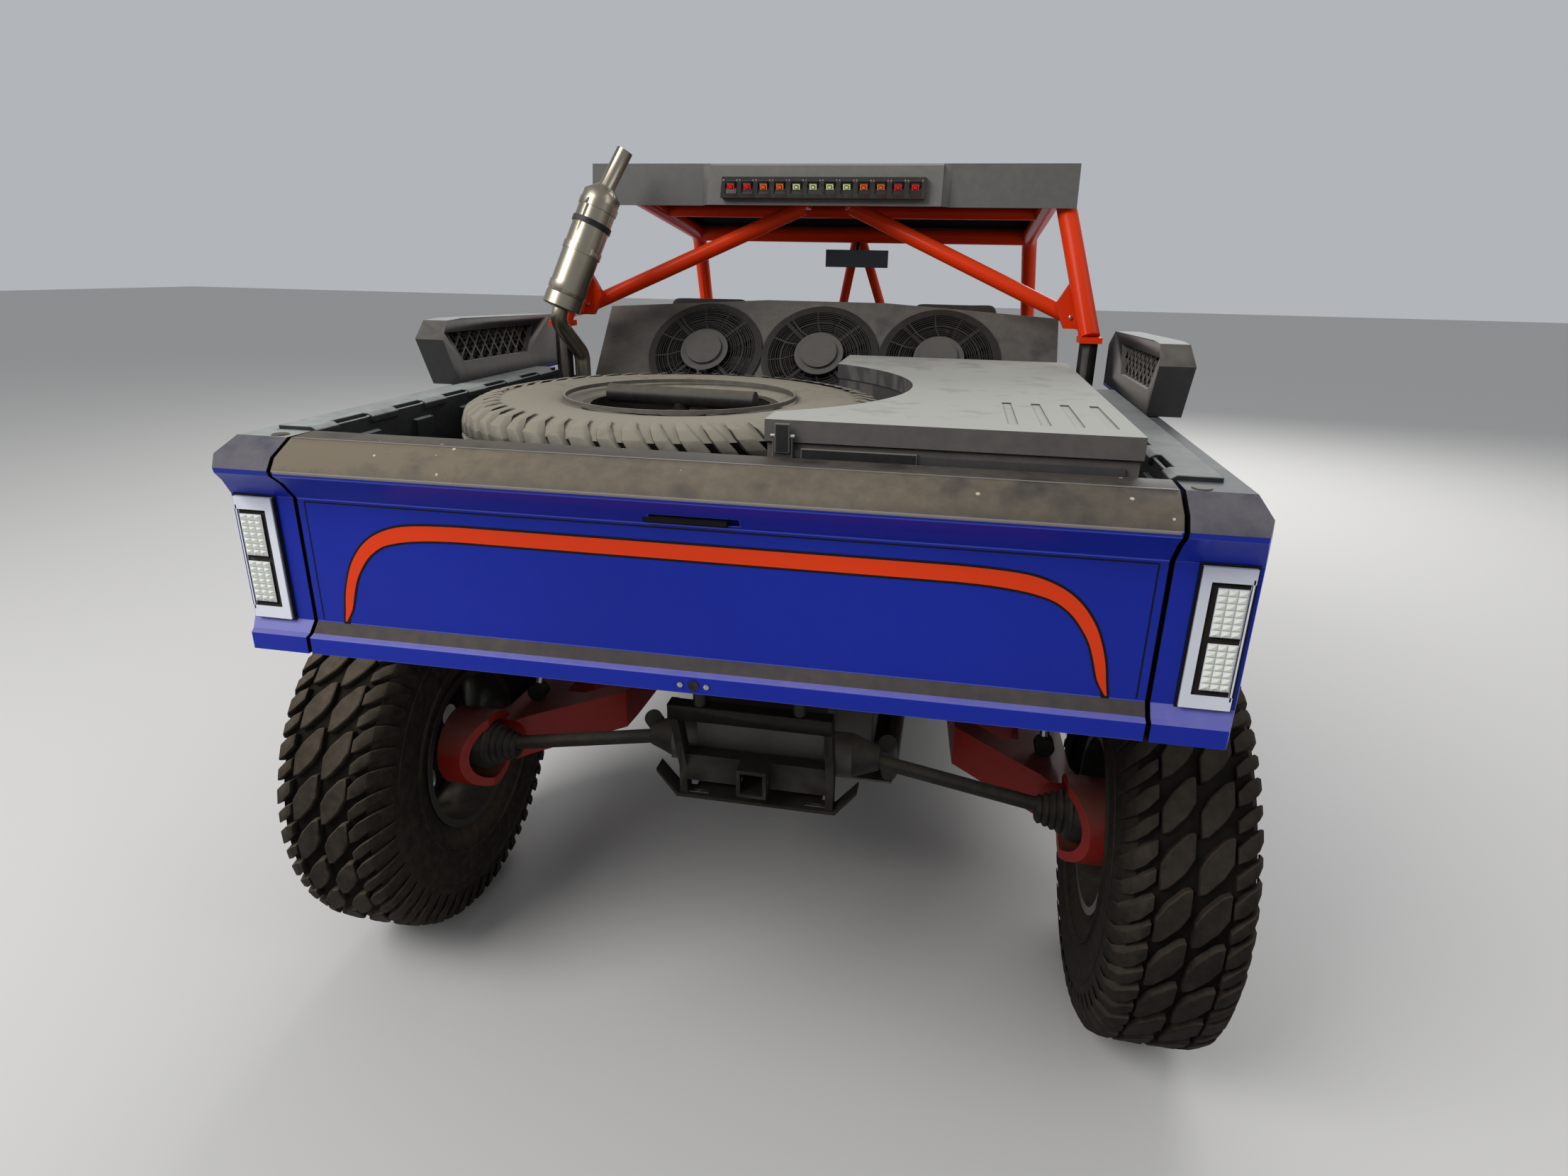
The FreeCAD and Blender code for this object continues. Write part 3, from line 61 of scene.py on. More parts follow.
# A shader socket that takes part in sums
class Value:
    def __init__(self, paint, socket):
        self.paint = paint
        self.socket = socket

    def maths(self, operation, first, second, clamp=False):
        settings = {"operation": operation, "use_clamp": clamp}
        made = self.paint.add("ShaderNodeMath", settings, {0: first, 1: second})
        return Value(self.paint, made.outputs[0])

    def __add__(self, other):
        return self.maths("ADD", self, other)

    def __sub__(self, other):
        return self.maths("SUBTRACT", self, other)

    def __mul__(self, other):
        return self.maths("MULTIPLY", self, other)

    def __rsub__(self, other):
        return self.maths("SUBTRACT", other, self)

    __radd__ = __add__
    __rmul__ = __mul__

    def over(self, other):
        return self.maths("GREATER_THAN", self, other)

    def clamped(self):
        return self.maths("ADD", self, 0.0, True)


# A material and the nodes that shade it
class Paint:
    def __init__(self, name):
        self.material = bpy.data.materials.new(name)
        self.material.use_nodes = True
        self.tree = self.material.node_tree
        self.tree.nodes.clear()
        self.shader = self.add("ShaderNodeBsdfPrincipled", {}, {})
        self.add("ShaderNodeOutputMaterial", {}, {0: self.shader.outputs[0]})
        place = self.add("ShaderNodeTexCoord", {}, {})
        self.point = Value(self, place.outputs["Object"])
        facing = self.add("ShaderNodeSeparateXYZ", {}, {0: place.outputs["Normal"]})
        self.up = Value(self, facing.outputs[2])
        where = self.add("ShaderNodeSeparateXYZ", {}, {0: self.point})
        self.across = Value(self, where.outputs[0])

    def add(self, kind, settings, sockets):
        node = self.tree.nodes.new(kind)
        for key, value in settings.items():
            setattr(node, key, value)
        for key, value in sockets.items():
            plain = value.socket if isinstance(value, Value) else value
            if isinstance(plain, bpy.types.NodeSocket):
                self.tree.links.new(plain, node.inputs[key])
            else:
                node.inputs[key].default_value = plain
        return node

    def set(self, **inputs):
        for key, value in inputs.items():
            name = key.replace("_", " ")
            if isinstance(value, Value):
                self.tree.links.new(value.socket, self.shader.inputs[name])
            else:
                self.shader.inputs[name].default_value = value

    def mix(self, factor, first, second):
        made = self.add("ShaderNodeMix", {"data_type": "RGBA"}, {0: factor, 6: first, 7: second})
        return Value(self, made.outputs[2])

    def noise(self, scale, detail, rough=0.5):
        made = self.add("ShaderNodeTexNoise", {}, {
            "Vector": self.point, "Scale": scale, "Detail": detail, "Roughness": rough})
        return Value(self, made.outputs[0])

    def cells(self, scale):
        made = self.add("ShaderNodeTexVoronoi", {}, {"Vector": self.point, "Scale": scale})
        return Value(self, made.outputs["Distance"])

    def bump(self, height, distance):
        made = self.add("ShaderNodeBump", {}, {
            "Height": height, "Distance": distance, "Strength": 1.0})
        self.tree.links.new(made.outputs[0], self.shader.inputs["Normal"])


def tint(red, green, blue):
    # a colour as it shows on a screen, 0 to 255
    def line(v):
        v /= 255
        return v / 12.92 if v <= 0.04045 else ((v + 0.055) / 1.055) ** 2.4
    return (line(red), line(green), line(blue), 1.0)


dustTone = tint(128, 118, 102)


# A finish with dust that settles on what faces up, which on the lid and the spare tyre also stands
# for painted sheen, a thin film all over and dried water drops
def surface(name, base, rough=0.5, metal=0.0, coat=0.0, dustAndSheen=0.35, film=0.08, tone=dustTone,
            vary=0.12, grain=0.0, grainScale=600.0, drops=0.0, flecks=0.0, shine=0.25,
            lean=0.0):
    paint = Paint(name)
    broad = paint.noise(2.6, 4.0)
    fine = paint.noise(42.0, 5.0, 0.65)
    level = ((paint.up - 0.12) * 1.6).clamped()
    cover = level * dustAndSheen * (broad * 1.2 + 0.4) + film * fine * (broad + 0.4)
    cover = cover * (fine * 0.8 + 0.6)
    if lean:
        # more cover towards the left side, or the right where lean is below 0; on the tyres, the
        # liner and the lid this is painted light falling from one side
        cover = cover * (1.0 - paint.across * lean)
    if drops:
        marks = (paint.noise(15.0, 1.0, 0.4) - 0.56) * 7.0
        cover = cover - marks.clamped() * level * drops * 0.3
    cover = cover.clamped()
    darker = tuple(c * (1 - vary * 1.6) for c in base[:3]) + (1.0,)
    lighter = tuple(min(1.0, c * (1 + vary)) for c in base[:3]) + (1.0,)
    colour = paint.mix(cover, paint.mix(broad, darker, lighter), tone)
    if flecks:
        spots = (0.1 - paint.cells(31.0)).over(0.0) * paint.noise(9.0, 2.0).over(0.56)
        colour = paint.mix(spots * flecks, colour, tint(196, 186, 160))
    paint.set(Base_Color=colour, Roughness=cover * (0.85 - rough) + rough, Metallic=metal,
              Specular_IOR_Level=shine)
    if coat:
        paint.set(Coat_Weight=(1.0 - cover) * coat, Coat_Roughness=0.12)
    if grain:
        paint.bump(paint.noise(grainScale, 2.0), grain)
    return paint.material


def glow(name, base, strength):
    # a lens that shines a little
    paint = Paint(name)
    paint.set(Base_Color=base, Roughness=0.2, Emission_Color=base, Emission_Strength=strength)
    return paint.material


bluePaint = surface("blue_paint", tint(13, 36, 150), 0.32, coat=0.12, dustAndSheen=0.28, film=0.02,
                    vary=0.12, shine=0.12, tone=tint(112, 112, 116))
# lighter blue for softened edges: painted highlight
blueEdgeHighlight = surface("blue_edge_highlight", tint(58, 70, 178), 0.3, dustAndSheen=0.25, film=0.05,
                   tone=tint(140, 138, 160))
# lavender blue for upward chamfers: painted sky reflection on the blue paint, with dust
blueBevelReflection = surface("blue_bevel_reflection", tint(70, 74, 168), 0.3, dustAndSheen=0.35, film=0.05,
                    tone=tint(140, 136, 170))
ledgeDust = surface("ledge_dust", tint(44, 42, 52), 0.6, dustAndSheen=0.35, film=0.3,
                    tone=tint(96, 88, 78), shine=0.1)
orangeFilm = surface("orange_film", tint(222, 58, 12), 0.4, dustAndSheen=0.1, film=0.03, shine=0.15)
blackFilm = surface("black_film", tint(10, 11, 16), 0.5, dustAndSheen=0.1, film=0.02, shine=0.15)
crownPaint = surface("crown_paint", tint(36, 35, 42), 0.42, dustAndSheen=0.68, film=0.22,
                     tone=tint(112, 102, 86), vary=0.3, grain=0.0004, drops=0.8, flecks=0.8,
                     lean=0.5)
crownTop = surface("crown_top", tint(34, 33, 38), 0.4, dustAndSheen=0.42, film=0.16,
                   tone=tint(98, 90, 78), vary=0.3, grain=0.0004, drops=0.8, flecks=0.5, lean=0.4)
# pale grey for the crown's edges: painted highlight
crownHighlight = surface("crown_highlight", tint(120, 114, 112), 0.35, dustAndSheen=0.3, film=0.2,
                    tone=tint(150, 142, 128))
# purple-grey for the blue corner crowns: painted reflection of a pale ceiling, with dust
cornerReflection = surface("corner_reflection", tint(36, 36, 62), 0.4, dustAndSheen=0.5, film=0.14,
                      tone=tint(108, 104, 104), vary=0.2, drops=0.8)
greyPlastic = surface("grey_plastic", tint(46, 46, 48), 0.5, dustAndSheen=0.42, film=0.12, grain=0.0004,
                      drops=0.6, tone=tint(122, 116, 106))
# lighter grey for softened edges: painted highlight
greyEdgeHighlight = surface("grey_edge_highlight", tint(84, 84, 84), 0.45, dustAndSheen=0.35, film=0.12)
motorPlastic = surface("motor_plastic", tint(66, 66, 66), 0.5, dustAndSheen=0.2, film=0.08)
trayPlastic = surface("tray_plastic", tint(58, 57, 59), 0.45, dustAndSheen=0.1, film=0.12, grain=0.0004)
shadowBlack = surface("shadow_black", tint(6, 6, 7), 0.8, dustAndSheen=0.06, film=0.02, shine=0.05)
paleTop = surface("pale_top", tint(58, 58, 58), 0.4, dustAndSheen=0.95, film=0.15,
                  tone=tint(158, 160, 156), drops=0.6)
# a darker copy of the liner's dusty top for the right rail: painted shade
railRightShade = surface("rail_right_shade", tint(34, 35, 37), 0.45, dustAndSheen=0.42, film=0.08,
                    tone=tint(118, 120, 120), drops=0.5)
darkPlastic = surface("dark_plastic", tint(20, 20, 23), 0.5, dustAndSheen=0.25, film=0.08, grain=0.0003)
# lighter towards the left through lean: painted light from the left, with dust
linerPlastic = surface("liner_plastic", tint(24, 25, 28), 0.5, dustAndSheen=0.7, film=0.08,
                       tone=tint(146, 150, 146), grain=0.0004, drops=0.4, lean=0.3)
# pale lid top: dust with a painted sheen, lighter towards the right
lidDustAndSheen = surface("lid_dust_and_sheen", tint(66, 66, 68), 0.38, dustAndSheen=0.95, film=0.08,
                     tone=tint(158, 158, 150), drops=0.8, lean=-0.25)
# lighter lid edge: painted highlight
lidEdgeHighlight = surface("lid_edge_highlight", tint(104, 104, 104), 0.4, dustAndSheen=0.4, film=0.12)
cageEnamel = surface("cage_enamel", tint(214, 50, 4), 0.36, coat=0.08, dustAndSheen=0.12, film=0.02,
                     shine=0.1, tone=tint(150, 96, 62))
redEnamel = surface("red_enamel", tint(146, 20, 12), 0.42, coat=0.1, dustAndSheen=0.35, film=0.12)
guardEnamel = surface("guard_enamel", tint(18, 18, 20), 0.45, dustAndSheen=0.06, film=0.05)
blackEnamel = surface("black_enamel", tint(16, 16, 18), 0.45, dustAndSheen=0.3, film=0.1)
blackSteel = surface("black_steel", tint(12, 11, 13), 0.5, metal=0.2, dustAndSheen=0.16, film=0.07)
# lean makes the tyres on the left lighter than those on the right: painted light from the left,
# over real dust
rubber = surface("tyre_rubber", tint(15, 13, 12), 0.8, dustAndSheen=0.45, film=0.34,
                 tone=tint(90, 80, 68), vary=0.25, grain=0.0006, shine=0.1, lean=0.35)
# dust on the upward sidewall, with painted sky light where it faces up
spareRubber = surface("spare_rubber", tint(24, 23, 22), 0.62, dustAndSheen=0.95, film=0.2,
                      tone=tint(134, 127, 113), grain=0.0005, drops=0.5, shine=0.3)
grooveRubber = surface("groove_rubber", tint(11, 10, 9), 0.85, dustAndSheen=0.25, film=0.16,
                       tone=tint(64, 57, 48), shine=0.05)
rimEnamel = surface("rim_enamel", tint(17, 17, 19), 0.32, coat=0.3, dustAndSheen=0.3, film=0.1)
brightMetal = surface("bright_metal", tint(186, 186, 184), 0.25, metal=1.0, dustAndSheen=0.2, film=0.06)
brushedSteel = surface("brushed_steel", tint(158, 150, 134), 0.26, metal=0.95, dustAndSheen=0.25,
                       film=0.1, vary=0.25)
castMetal = surface("cast_metal", tint(84, 82, 80), 0.55, metal=0.6, dustAndSheen=0.4, film=0.25,
                    grain=0.0004)
coreMetal = surface("core_metal", tint(14, 14, 15), 0.6, metal=0.3, dustAndSheen=0.05, film=0.05)
lampFrame = surface("lamp_frame", tint(214, 217, 226), 0.3, coat=0.2, dustAndSheen=0.1, film=0.03)
lampDark = surface("lamp_dark", tint(9, 9, 11), 0.25, coat=0.3, dustAndSheen=0.1, film=0.03)
roofSheet = surface("roof_sheet", tint(82, 80, 78), 0.5, dustAndSheen=0.4, film=0.25,
                    tone=tint(134, 129, 120), drops=0.3)
seatCloth = surface("seat_cloth", tint(26, 26, 29), 0.85, dustAndSheen=0.15, film=0.08, grain=0.0008,
                    grainScale=900.0)
springEnamel = surface("spring_enamel", tint(198, 50, 14), 0.4, dustAndSheen=0.3, film=0.1)
mirrorGlass = surface("mirror_glass", tint(58, 62, 68), 0.12, metal=0.5, dustAndSheen=0.1, film=0.05)
bootRubber = surface("boot_rubber", tint(16, 16, 16), 0.6, dustAndSheen=0.35, film=0.15)
lensClear = glow("lens_clear", tint(208, 210, 200), 0.12)
lensRed = glow("lens_red", tint(196, 26, 26), 0.35)
lensAmber = glow("lens_amber", tint(206, 92, 34), 0.35)
lensPale = glow("lens_pale", tint(196, 204, 140), 0.3)
# a lighter copy that a softened edge shows in place of its face's own material: painted highlight
# along the edge
paintedEdgeHighlight = {"blue_paint": blueEdgeHighlight, "crown_paint": crownHighlight, "crown_top": crownHighlight,
        "grey_plastic": greyEdgeHighlight, "lid_dust_and_sheen": lidEdgeHighlight, "tray_plastic": greyEdgeHighlight}
print("materials made")


def baked(item):
    # the mesh as the object's modifiers leave it
    bpy.context.view_layer.update()
    graph = bpy.context.evaluated_depsgraph_get()
    return bpy.data.meshes.new_from_object(item.evaluated_get(graph))


# Gathers simple forms, given in millimetres, into one mesh
class Build:
    def __init__(self, name):
        self.name = name
        self.mesh = bmesh.new()
        self.looks = []

    def look(self, material):
        if material not in self.looks:
            self.looks.append(material)
        return self.looks.index(material)

    def solid(self, points, faces, material, bevel=0.0, steps=2):
        verts = [self.mesh.verts.new(Vector(p)) for p in points]
        index = self.look(material)
        made = []
        for corners in faces:
            face = self.mesh.faces.new([verts[i] for i in corners])
            face.material_index = index
            made.append(face)
        if bevel:
            edges = list({e for f in made for e in f.edges})
            bmesh.ops.bevel(self.mesh, geom=edges, offset=bevel, segments=steps, profile=0.5,
                            affect="EDGES", clamp_overlap=True)

    def prism(self, low, high, material, bevel=0.0):
        # two rings of the same number of points, one over the other
        n = len(low)
        faces = [list(range(n))[::-1], [n + i for i in range(n)]]
        faces += [[i, (i + 1) % n, n + (i + 1) % n, n + i] for i in range(n)]
        self.solid(list(low) + list(high), faces, material, bevel)

    def box(self, low, high, material, bevel=0.0):
        x0, y0, z0 = low
        x1, y1, z1 = high
        ring = [(x0, y0), (x1, y0), (x1, y1), (x0, y1)]
        self.prism([(x, y, z0) for x, y in ring], [(x, y, z1) for x, y in ring], material, bevel)

    def sweep(self, rings, material, closed=False):
        # rings of points joined in a row, capped unless it runs round
        n = len(rings[0])
        points = [p for ring in rings for p in ring]
        faces = []
        count = len(rings)
        for r in range(count if closed else count - 1):
            a, b = r * n, (r + 1) % count * n
            faces += [[a + i, a + (i + 1) % n, b + (i + 1) % n, b + i] for i in range(n)]
        if not closed:
            faces += [list(range(n))[::-1], [(count - 1) * n + i for i in range(n)]]
        self.solid(points, faces, material)

    def tube(self, path, radius, material, sides=12, closed=False):
        path = [Vector(p) for p in path]
        count = len(path)
        rings = []
        side = None
        for i, p in enumerate(path):
            before = path[i - 1] if i or closed else p
            after = path[(i + 1) % count] if i < count - 1 or closed else p
            run = (after - before).normalized()
            if side is None:
                side = run.orthogonal().normalized()
            side = (side - run * side.dot(run)).normalized()
            over = run.cross(side)
            size = radius[i] if isinstance(radius, (list, tuple)) else radius
            rings.append([p + (side * math.cos(t) + over * math.sin(t)) * size
                          for t in (2 * math.pi * k / sides for k in range(sides))])
        self.sweep(rings, material, closed)

    def rod(self, start, end, radius, material, sides=24):
        self.tube([start, end], radius, material, sides)

    def lathe(self, profile, material, place=None, segments=64, closed=False):
        # profile of (along X, radius) round the X axis, then moved by a matrix
        place = place or Matrix.Identity(4)
        rings = []
        for k in range(segments):
            t = 2 * math.pi * k / segments
            rings.append([place @ Vector((w, r * math.cos(t), r * math.sin(t)))
                          for w, r in profile])
        if closed:
            self.sweep(rings, material, True)
        else:
            n = len(profile)
            points = [p for ring in rings for p in ring]
            faces = []
            for r in range(segments):
                a, b = r * n, (r + 1) % segments * n
                faces += [[a + i, a + i + 1, b + i + 1, b + i] for i in range(n - 1)]
            faces.append([r * n for r in range(segments)][::-1])
            faces.append([r * n + n - 1 for r in range(segments)])
            self.solid(points, faces, material)

    def take(self, other, place=None):
        # adds another build's mesh, moved by a matrix
        held = bpy.data.meshes.new("held")
        other.mesh.to_mesh(held)
        for material in other.looks:
            self.look(material)
        if place:
            held.transform(place)
        for face in self.mesh.faces:
            face.tag = True
        self.mesh.from_mesh(held)
        for face in self.mesh.faces:
            if not face.tag:
                face.material_index = self.look(other.looks[face.material_index])
        bpy.data.meshes.remove(held)

    def repeat(self, unit, count, step=(0, 0, 0), turn=(0, 0, 0), place=None):
        self.take(repeated(unit, count, step, turn), place)

    def done(self, body, *hidden, angle=25, even=False):
        bmesh.ops.recalc_face_normals(self.mesh, faces=self.mesh.faces)
        self.mesh.transform(Matrix.Scale(mm, 4))
        mesh = bpy.data.meshes.new(self.name)
        self.mesh.to_mesh(mesh)
        self.mesh.free()
        for material in self.looks:
            mesh.materials.append(material)
        mesh.shade_smooth()
        mesh.set_sharp_from_angle(angle=math.radians(angle))
        made = bpy.data.objects.new(self.name, mesh)
        bpy.context.scene.collection.objects.link(made)
        if even:
            # big faces keep their own direction, so that only the edges turn
            turned = made.modifiers.new("even", "WEIGHTED_NORMAL")
            turned.keep_sharp = True
            made.data = baked(made)
            made.modifiers.clear()
            bpy.data.meshes.remove(mesh)
        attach(made, body)
        if hidden:
            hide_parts(*hidden)
        return made


def repeatTree():
    # geometry nodes for copies along a line, each turned further than the one before
    tree = bpy.data.node_groups.new("repeat_in_a_row", "GeometryNodeTree")
    tree.interface.new_socket("Geometry", in_out="INPUT", socket_type="NodeSocketGeometry")
    tree.interface.new_socket("Count", in_out="INPUT", socket_type="NodeSocketInt")
    tree.interface.new_socket("Step", in_out="INPUT", socket_type="NodeSocketVector")
    tree.interface.new_socket("Turn", in_out="INPUT", socket_type="NodeSocketVector")
    tree.interface.new_socket("Material", in_out="INPUT", socket_type="NodeSocketMaterial")
    tree.interface.new_socket("Geometry", in_out="OUTPUT", socket_type="NodeSocketGeometry")
    start = tree.nodes.new("NodeGroupInput")
    end = tree.nodes.new("NodeGroupOutput")
    line = tree.nodes.new("GeometryNodeMeshLine")
    index = tree.nodes.new("GeometryNodeInputIndex")
    angle = tree.nodes.new("ShaderNodeVectorMath")
    angle.operation = "SCALE"
    copies = tree.nodes.new("GeometryNodeInstanceOnPoints")
    real = tree.nodes.new("GeometryNodeRealizeInstances")
    coat = tree.nodes.new("GeometryNodeSetMaterial")
    link = tree.links.new
    link(start.outputs["Count"], line.inputs["Count"])
    link(start.outputs["Step"], line.inputs["Offset"])
    link(start.outputs["Turn"], angle.inputs[0])
    link(index.outputs[0], angle.inputs["Scale"])
    link(line.outputs[0], copies.inputs["Points"])
    link(start.outputs["Geometry"], copies.inputs["Instance"])
    link(angle.outputs[0], copies.inputs["Rotation"])
    link(copies.outputs[0], real.inputs[0])
    link(real.outputs[0], coat.inputs["Geometry"])
    link(start.outputs["Material"], coat.inputs["Material"])
    link(coat.outputs[0], end.inputs[0])
    return tree


rowTree = repeatTree()


def repeated(unit, count, step, turn):
    # copies of a one-material build, each moved by step and turned by turn from the one before
    mesh = bpy.data.meshes.new("unit")
    unit.mesh.to_mesh(mesh)
    holder = bpy.data.objects.new("unit", mesh)
    bpy.context.scene.collection.objects.link(holder)
    row = holder.modifiers.new("row", "NODES")
    row.node_group = rowTree
    values = {"Count": count, "Step": step, "Turn": turn, "Material": unit.looks[0]}
    for item in rowTree.interface.items_tree:
        if item.in_out == "INPUT" and item.name in values:
            row[item.identifier] = values[item.name]
    plain = baked(holder)
    made = Build(unit.name)
    made.look(unit.looks[0])
    made.mesh.from_mesh(plain)
    for face in made.mesh.faces:
        face.material_index = 0
    bpy.data.objects.remove(holder)
    bpy.data.meshes.remove(plain)
    return made


# how a CAD form's mesh is cleaned and its edges are found, in millimetres and degrees
clean = {"merge": 0.02, "flat": 0.8, "edge": 28, "smooth": 48}


def refined(node, looks, width=2.0, extra=None):
    # the CAD node's own form with softened edges
    # looks is a material, or a rule that gives one from a face's centre and normal
    work = bmesh.new()
    work.from_mesh(nodes[node].data)
    work.transform(Matrix.Scale(1 / mm, 4))
    bmesh.ops.remove_doubles(work, verts=work.verts, dist=clean["merge"])
    bmesh.ops.dissolve_limit(work, angle_limit=math.radians(clean["flat"]), verts=work.verts,
                             edges=work.edges)
    rounded = set()
    if width:
        least = math.radians(clean["edge"])
        sharp = [e for e in work.edges if e.is_manifold and e.calc_face_angle(0) > least]
        cut = bmesh.ops.bevel(work, geom=sharp, offset=width, segments=2, profile=0.5,
                              affect="EDGES", clamp_overlap=True, loop_slide=True)
        rounded = set(cut["faces"])
    made = Build(node + "_skin")
    made.mesh.free()
    made.mesh = work
    for face in work.faces:
        material = looks(face.calc_center_median(), face.normal) if callable(looks) else looks
        # a softened edge takes the lighter copy of its material: painted highlight
        if face in rounded:
            material = paintedEdgeHighlight.get(material.name, material)
        face.material_index = made.look(material)
    if extra:
        extra(made)
    return made.done(nodes[node]["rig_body"], node, angle=clean["smooth"], even=True)


# Tyres: carcass turned once, lugs repeated round it
tyre = {"radius": 445.0, "pitches": 28, "slant": 1.1, "crown": 0.0003, "lugFoot": 427,
        "grooveFloor": 421}


def lugStrip(build, stations, material, bevel=2.4):
    # a block through stations of (across, top radius, foot radius, place along, half length)
    rings = []
    for w, top, foot, arc, half in stations:
        ring = []
        corners = ((foot, arc - half - 2), (foot, arc + half + 2),
                   (top, arc + half), (top, arc - half))
        for r, a in corners:
            t = a / tyre["radius"]
            ring.append(Vector((w, r * math.sin(t), r * math.cos(t))))
        rings.append(ring)
    n = len(rings)
    points = [p for ring in rings for p in ring]
    faces = [[0, 3, 2, 1], [4 * n - 4, 4 * n - 3, 4 * n - 2, 4 * n - 1]]
    for r in range(n - 1):
        faces += [[4 * r + i, 4 * r + (i + 1) % 4, 4 * r + 4 + (i + 1) % 4, 4 * r + 4 + i]
                  for i in range(4)]
    build.solid(points, faces, material, bevel, 1)


def treadPitch(material):
    # one pitch: two slanting centre blocks, and a long and a short lug over each shoulder
    unit = Build("pitch")
    lean = tyre["slant"]
    pitch = 2 * math.pi * tyre["radius"] / tyre["pitches"]
    # (across, half length) along a block, and (place in the pitch, top's height, half lengths)
    block = ((4, 23), (18, 34), (46, 34), (62, 23))
    shoulders = ((0.22, 0.0, (13, 19, 17, 12, 8)), (0.72, -3.0, (11, 15, 13, 10, 6)))
    for s in (1, -1):
        stations = []
        for w, half in block:
            top = tyre["radius"] - tyre["crown"] * w * w
            stations.append((s * w, top, tyre["lugFoot"], s * (w - 33) * lean, half))
        lugStrip(unit, stations, material)
        for place, top, halves in shoulders:
            section = ((67, 443.5, 425), (86, 441.5, 423), (105, 434.5, 413), (118.5, 412, 396),
                       (124.6, 376 - 2 * top, 366))
            stations = []
            for (w, r, foot), half in zip(section, halves):
                along = pitch * place + s * (w - 67) * lean * 0.75
                stations.append((s * w, r + top * 0.4, foot, along, half))
            lugStrip(unit, stations, material)
    return unit


def tyreBuild(material, rings):
    whole = Build("tyre")
    side = [(98, 196.3), (99, 216), (108, 232), (116, 250), (121, 282), (124.5, 318),
            (123.5, 352), (118, 382), (110, 406), (98, 422), (60, 428), (0, 429)]
    profile = side + [(-w, r) for w, r in reversed(side[:-1])]
    whole.lathe(profile, material, segments=120, closed=True)
    for face in whole.mesh.faces:
        middle = face.calc_center_median()
        if math.hypot(middle.y, middle.z) > tyre["grooveFloor"]:
            face.material_index = whole.look(grooveRubber)
    for w in (1, -1):
        for r in rings:
            ridge = [(w * 118, r), (w * 125.6, r + 2), (w * 125.6, r + 5), (w * 118, r + 7)]
            whole.lathe(ridge, material, segments=96, closed=True)
    whole.repeat(treadPitch(material), tyre["pitches"], turn=(2 * math.pi / tyre["pitches"], 0, 0))
    return whole


hubs = {
    # node ending: (x, y)
    "fl": (-868, 1419),
    "fr": (868, 1419),
    "rl": (-868, -1281),
    "rr": (868, -1281),
}
pattern = tyreBuild(rubber, (262, 344))
for ending, (x, y) in hubs.items():
    piece = Build("tyre_" + ending + "_treaded")
    piece.take(pattern, Matrix.Translation((x, y, tyre["radius"])))
    piece.done("wheel_" + ending, "tyre_" + ending, angle=40)
spare = {"x": -188.0, "y": -1281.0, "z": 1238.0}
piece = Build("spare_tyre_treaded")
laid = Matrix.Translation((spare["x"], spare["y"], spare["z"]))
piece.take(tyreBuild(spareRubber, (236,)), laid @ Matrix.Rotation(-math.pi / 2, 4, "Y"))
piece.done("chassis", "spare_tyre", angle=40)
print("tyres made")


# Rims: the CAD form, with bead bolts and wheel nuts
rim = {"bolts": 24, "boltCircle": 198, "nuts": 5, "nutCircle": 42}


def rimBolts(build, place):
    # bolts round the bead, nuts round the hub, and its cap
    bolt = Build("bolt")
    bolt.lathe([(104, 0.1), (104, 6), (112, 6), (112, 0.1)], brightMetal,
               Matrix.Translation((0, 0, rim["boltCircle"])), 6)
    build.repeat(bolt, rim["bolts"], turn=(2 * math.pi / rim["bolts"], 0, 0), place=place)
    nut = Build("nut")
    nut.lathe([(66, 0.1), (66, 9), (84, 9), (86, 0.1)], brightMetal,
              Matrix.Translation((0, 0, rim["nutCircle"])), 6)
    build.repeat(nut, rim["nuts"], turn=(2 * math.pi / rim["nuts"], 0, 0), place=place)
    build.lathe([(66, 0.1), (66, 26), (80, 22), (82, 0.1)], darkPlastic, place, 24)


for ending, (x, y) in hubs.items():
    outward = Matrix.Diagonal((1 if x > 0 else -1, 1, 1, 1))
    place = Matrix.Translation((x, y, tyre["radius"])) @ outward
    refined("rim_" + ending, rimEnamel, 1.5, extra=lambda b, p=place: rimBolts(b, p))
refined("spare_rim", rimEnamel, 1.5)
refined("spare_clamp", blackEnamel, 2.5)
print("rims made")


# Tailgate
gate = {"face": -1827.0, "crownLow": 1289, "crownHigh": 1300, "ledgeTop": 1016,
        "ledgeY": -1843.5, "ledgeZ": 996.5, "innerSkin": -1768, "edge": 694.6, "trim": 693,
        "seamX": 684, "seamLow": 1018, "seamHigh": 1230, "seamWide": 2.5, "slotLeft": -82,
        "slotRight": 54, "slotLow": 1241, "slotHigh": 1253, "lampY": -1854, "lampZ": 977}


def gateLook(centre, normal):
    if abs(centre.x) > gate["edge"]:
        return shadowBlack
    if centre.y > gate["innerSkin"]:
        return crownTop if normal.z > 0.5 and centre.z > gate["crownHigh"] else linerPlastic
    if centre.z > gate["crownLow"] and normal.z > -0.1:
        return crownTop if normal.z > 0.9 else crownPaint
    if centre.z < gate["ledgeTop"] and normal.z > 0.4:
        onLedge = centre.y > gate["ledgeY"] and centre.z > gate["ledgeZ"]
        return ledgeDust if onLedge else blueBevelReflection
    return bluePaint


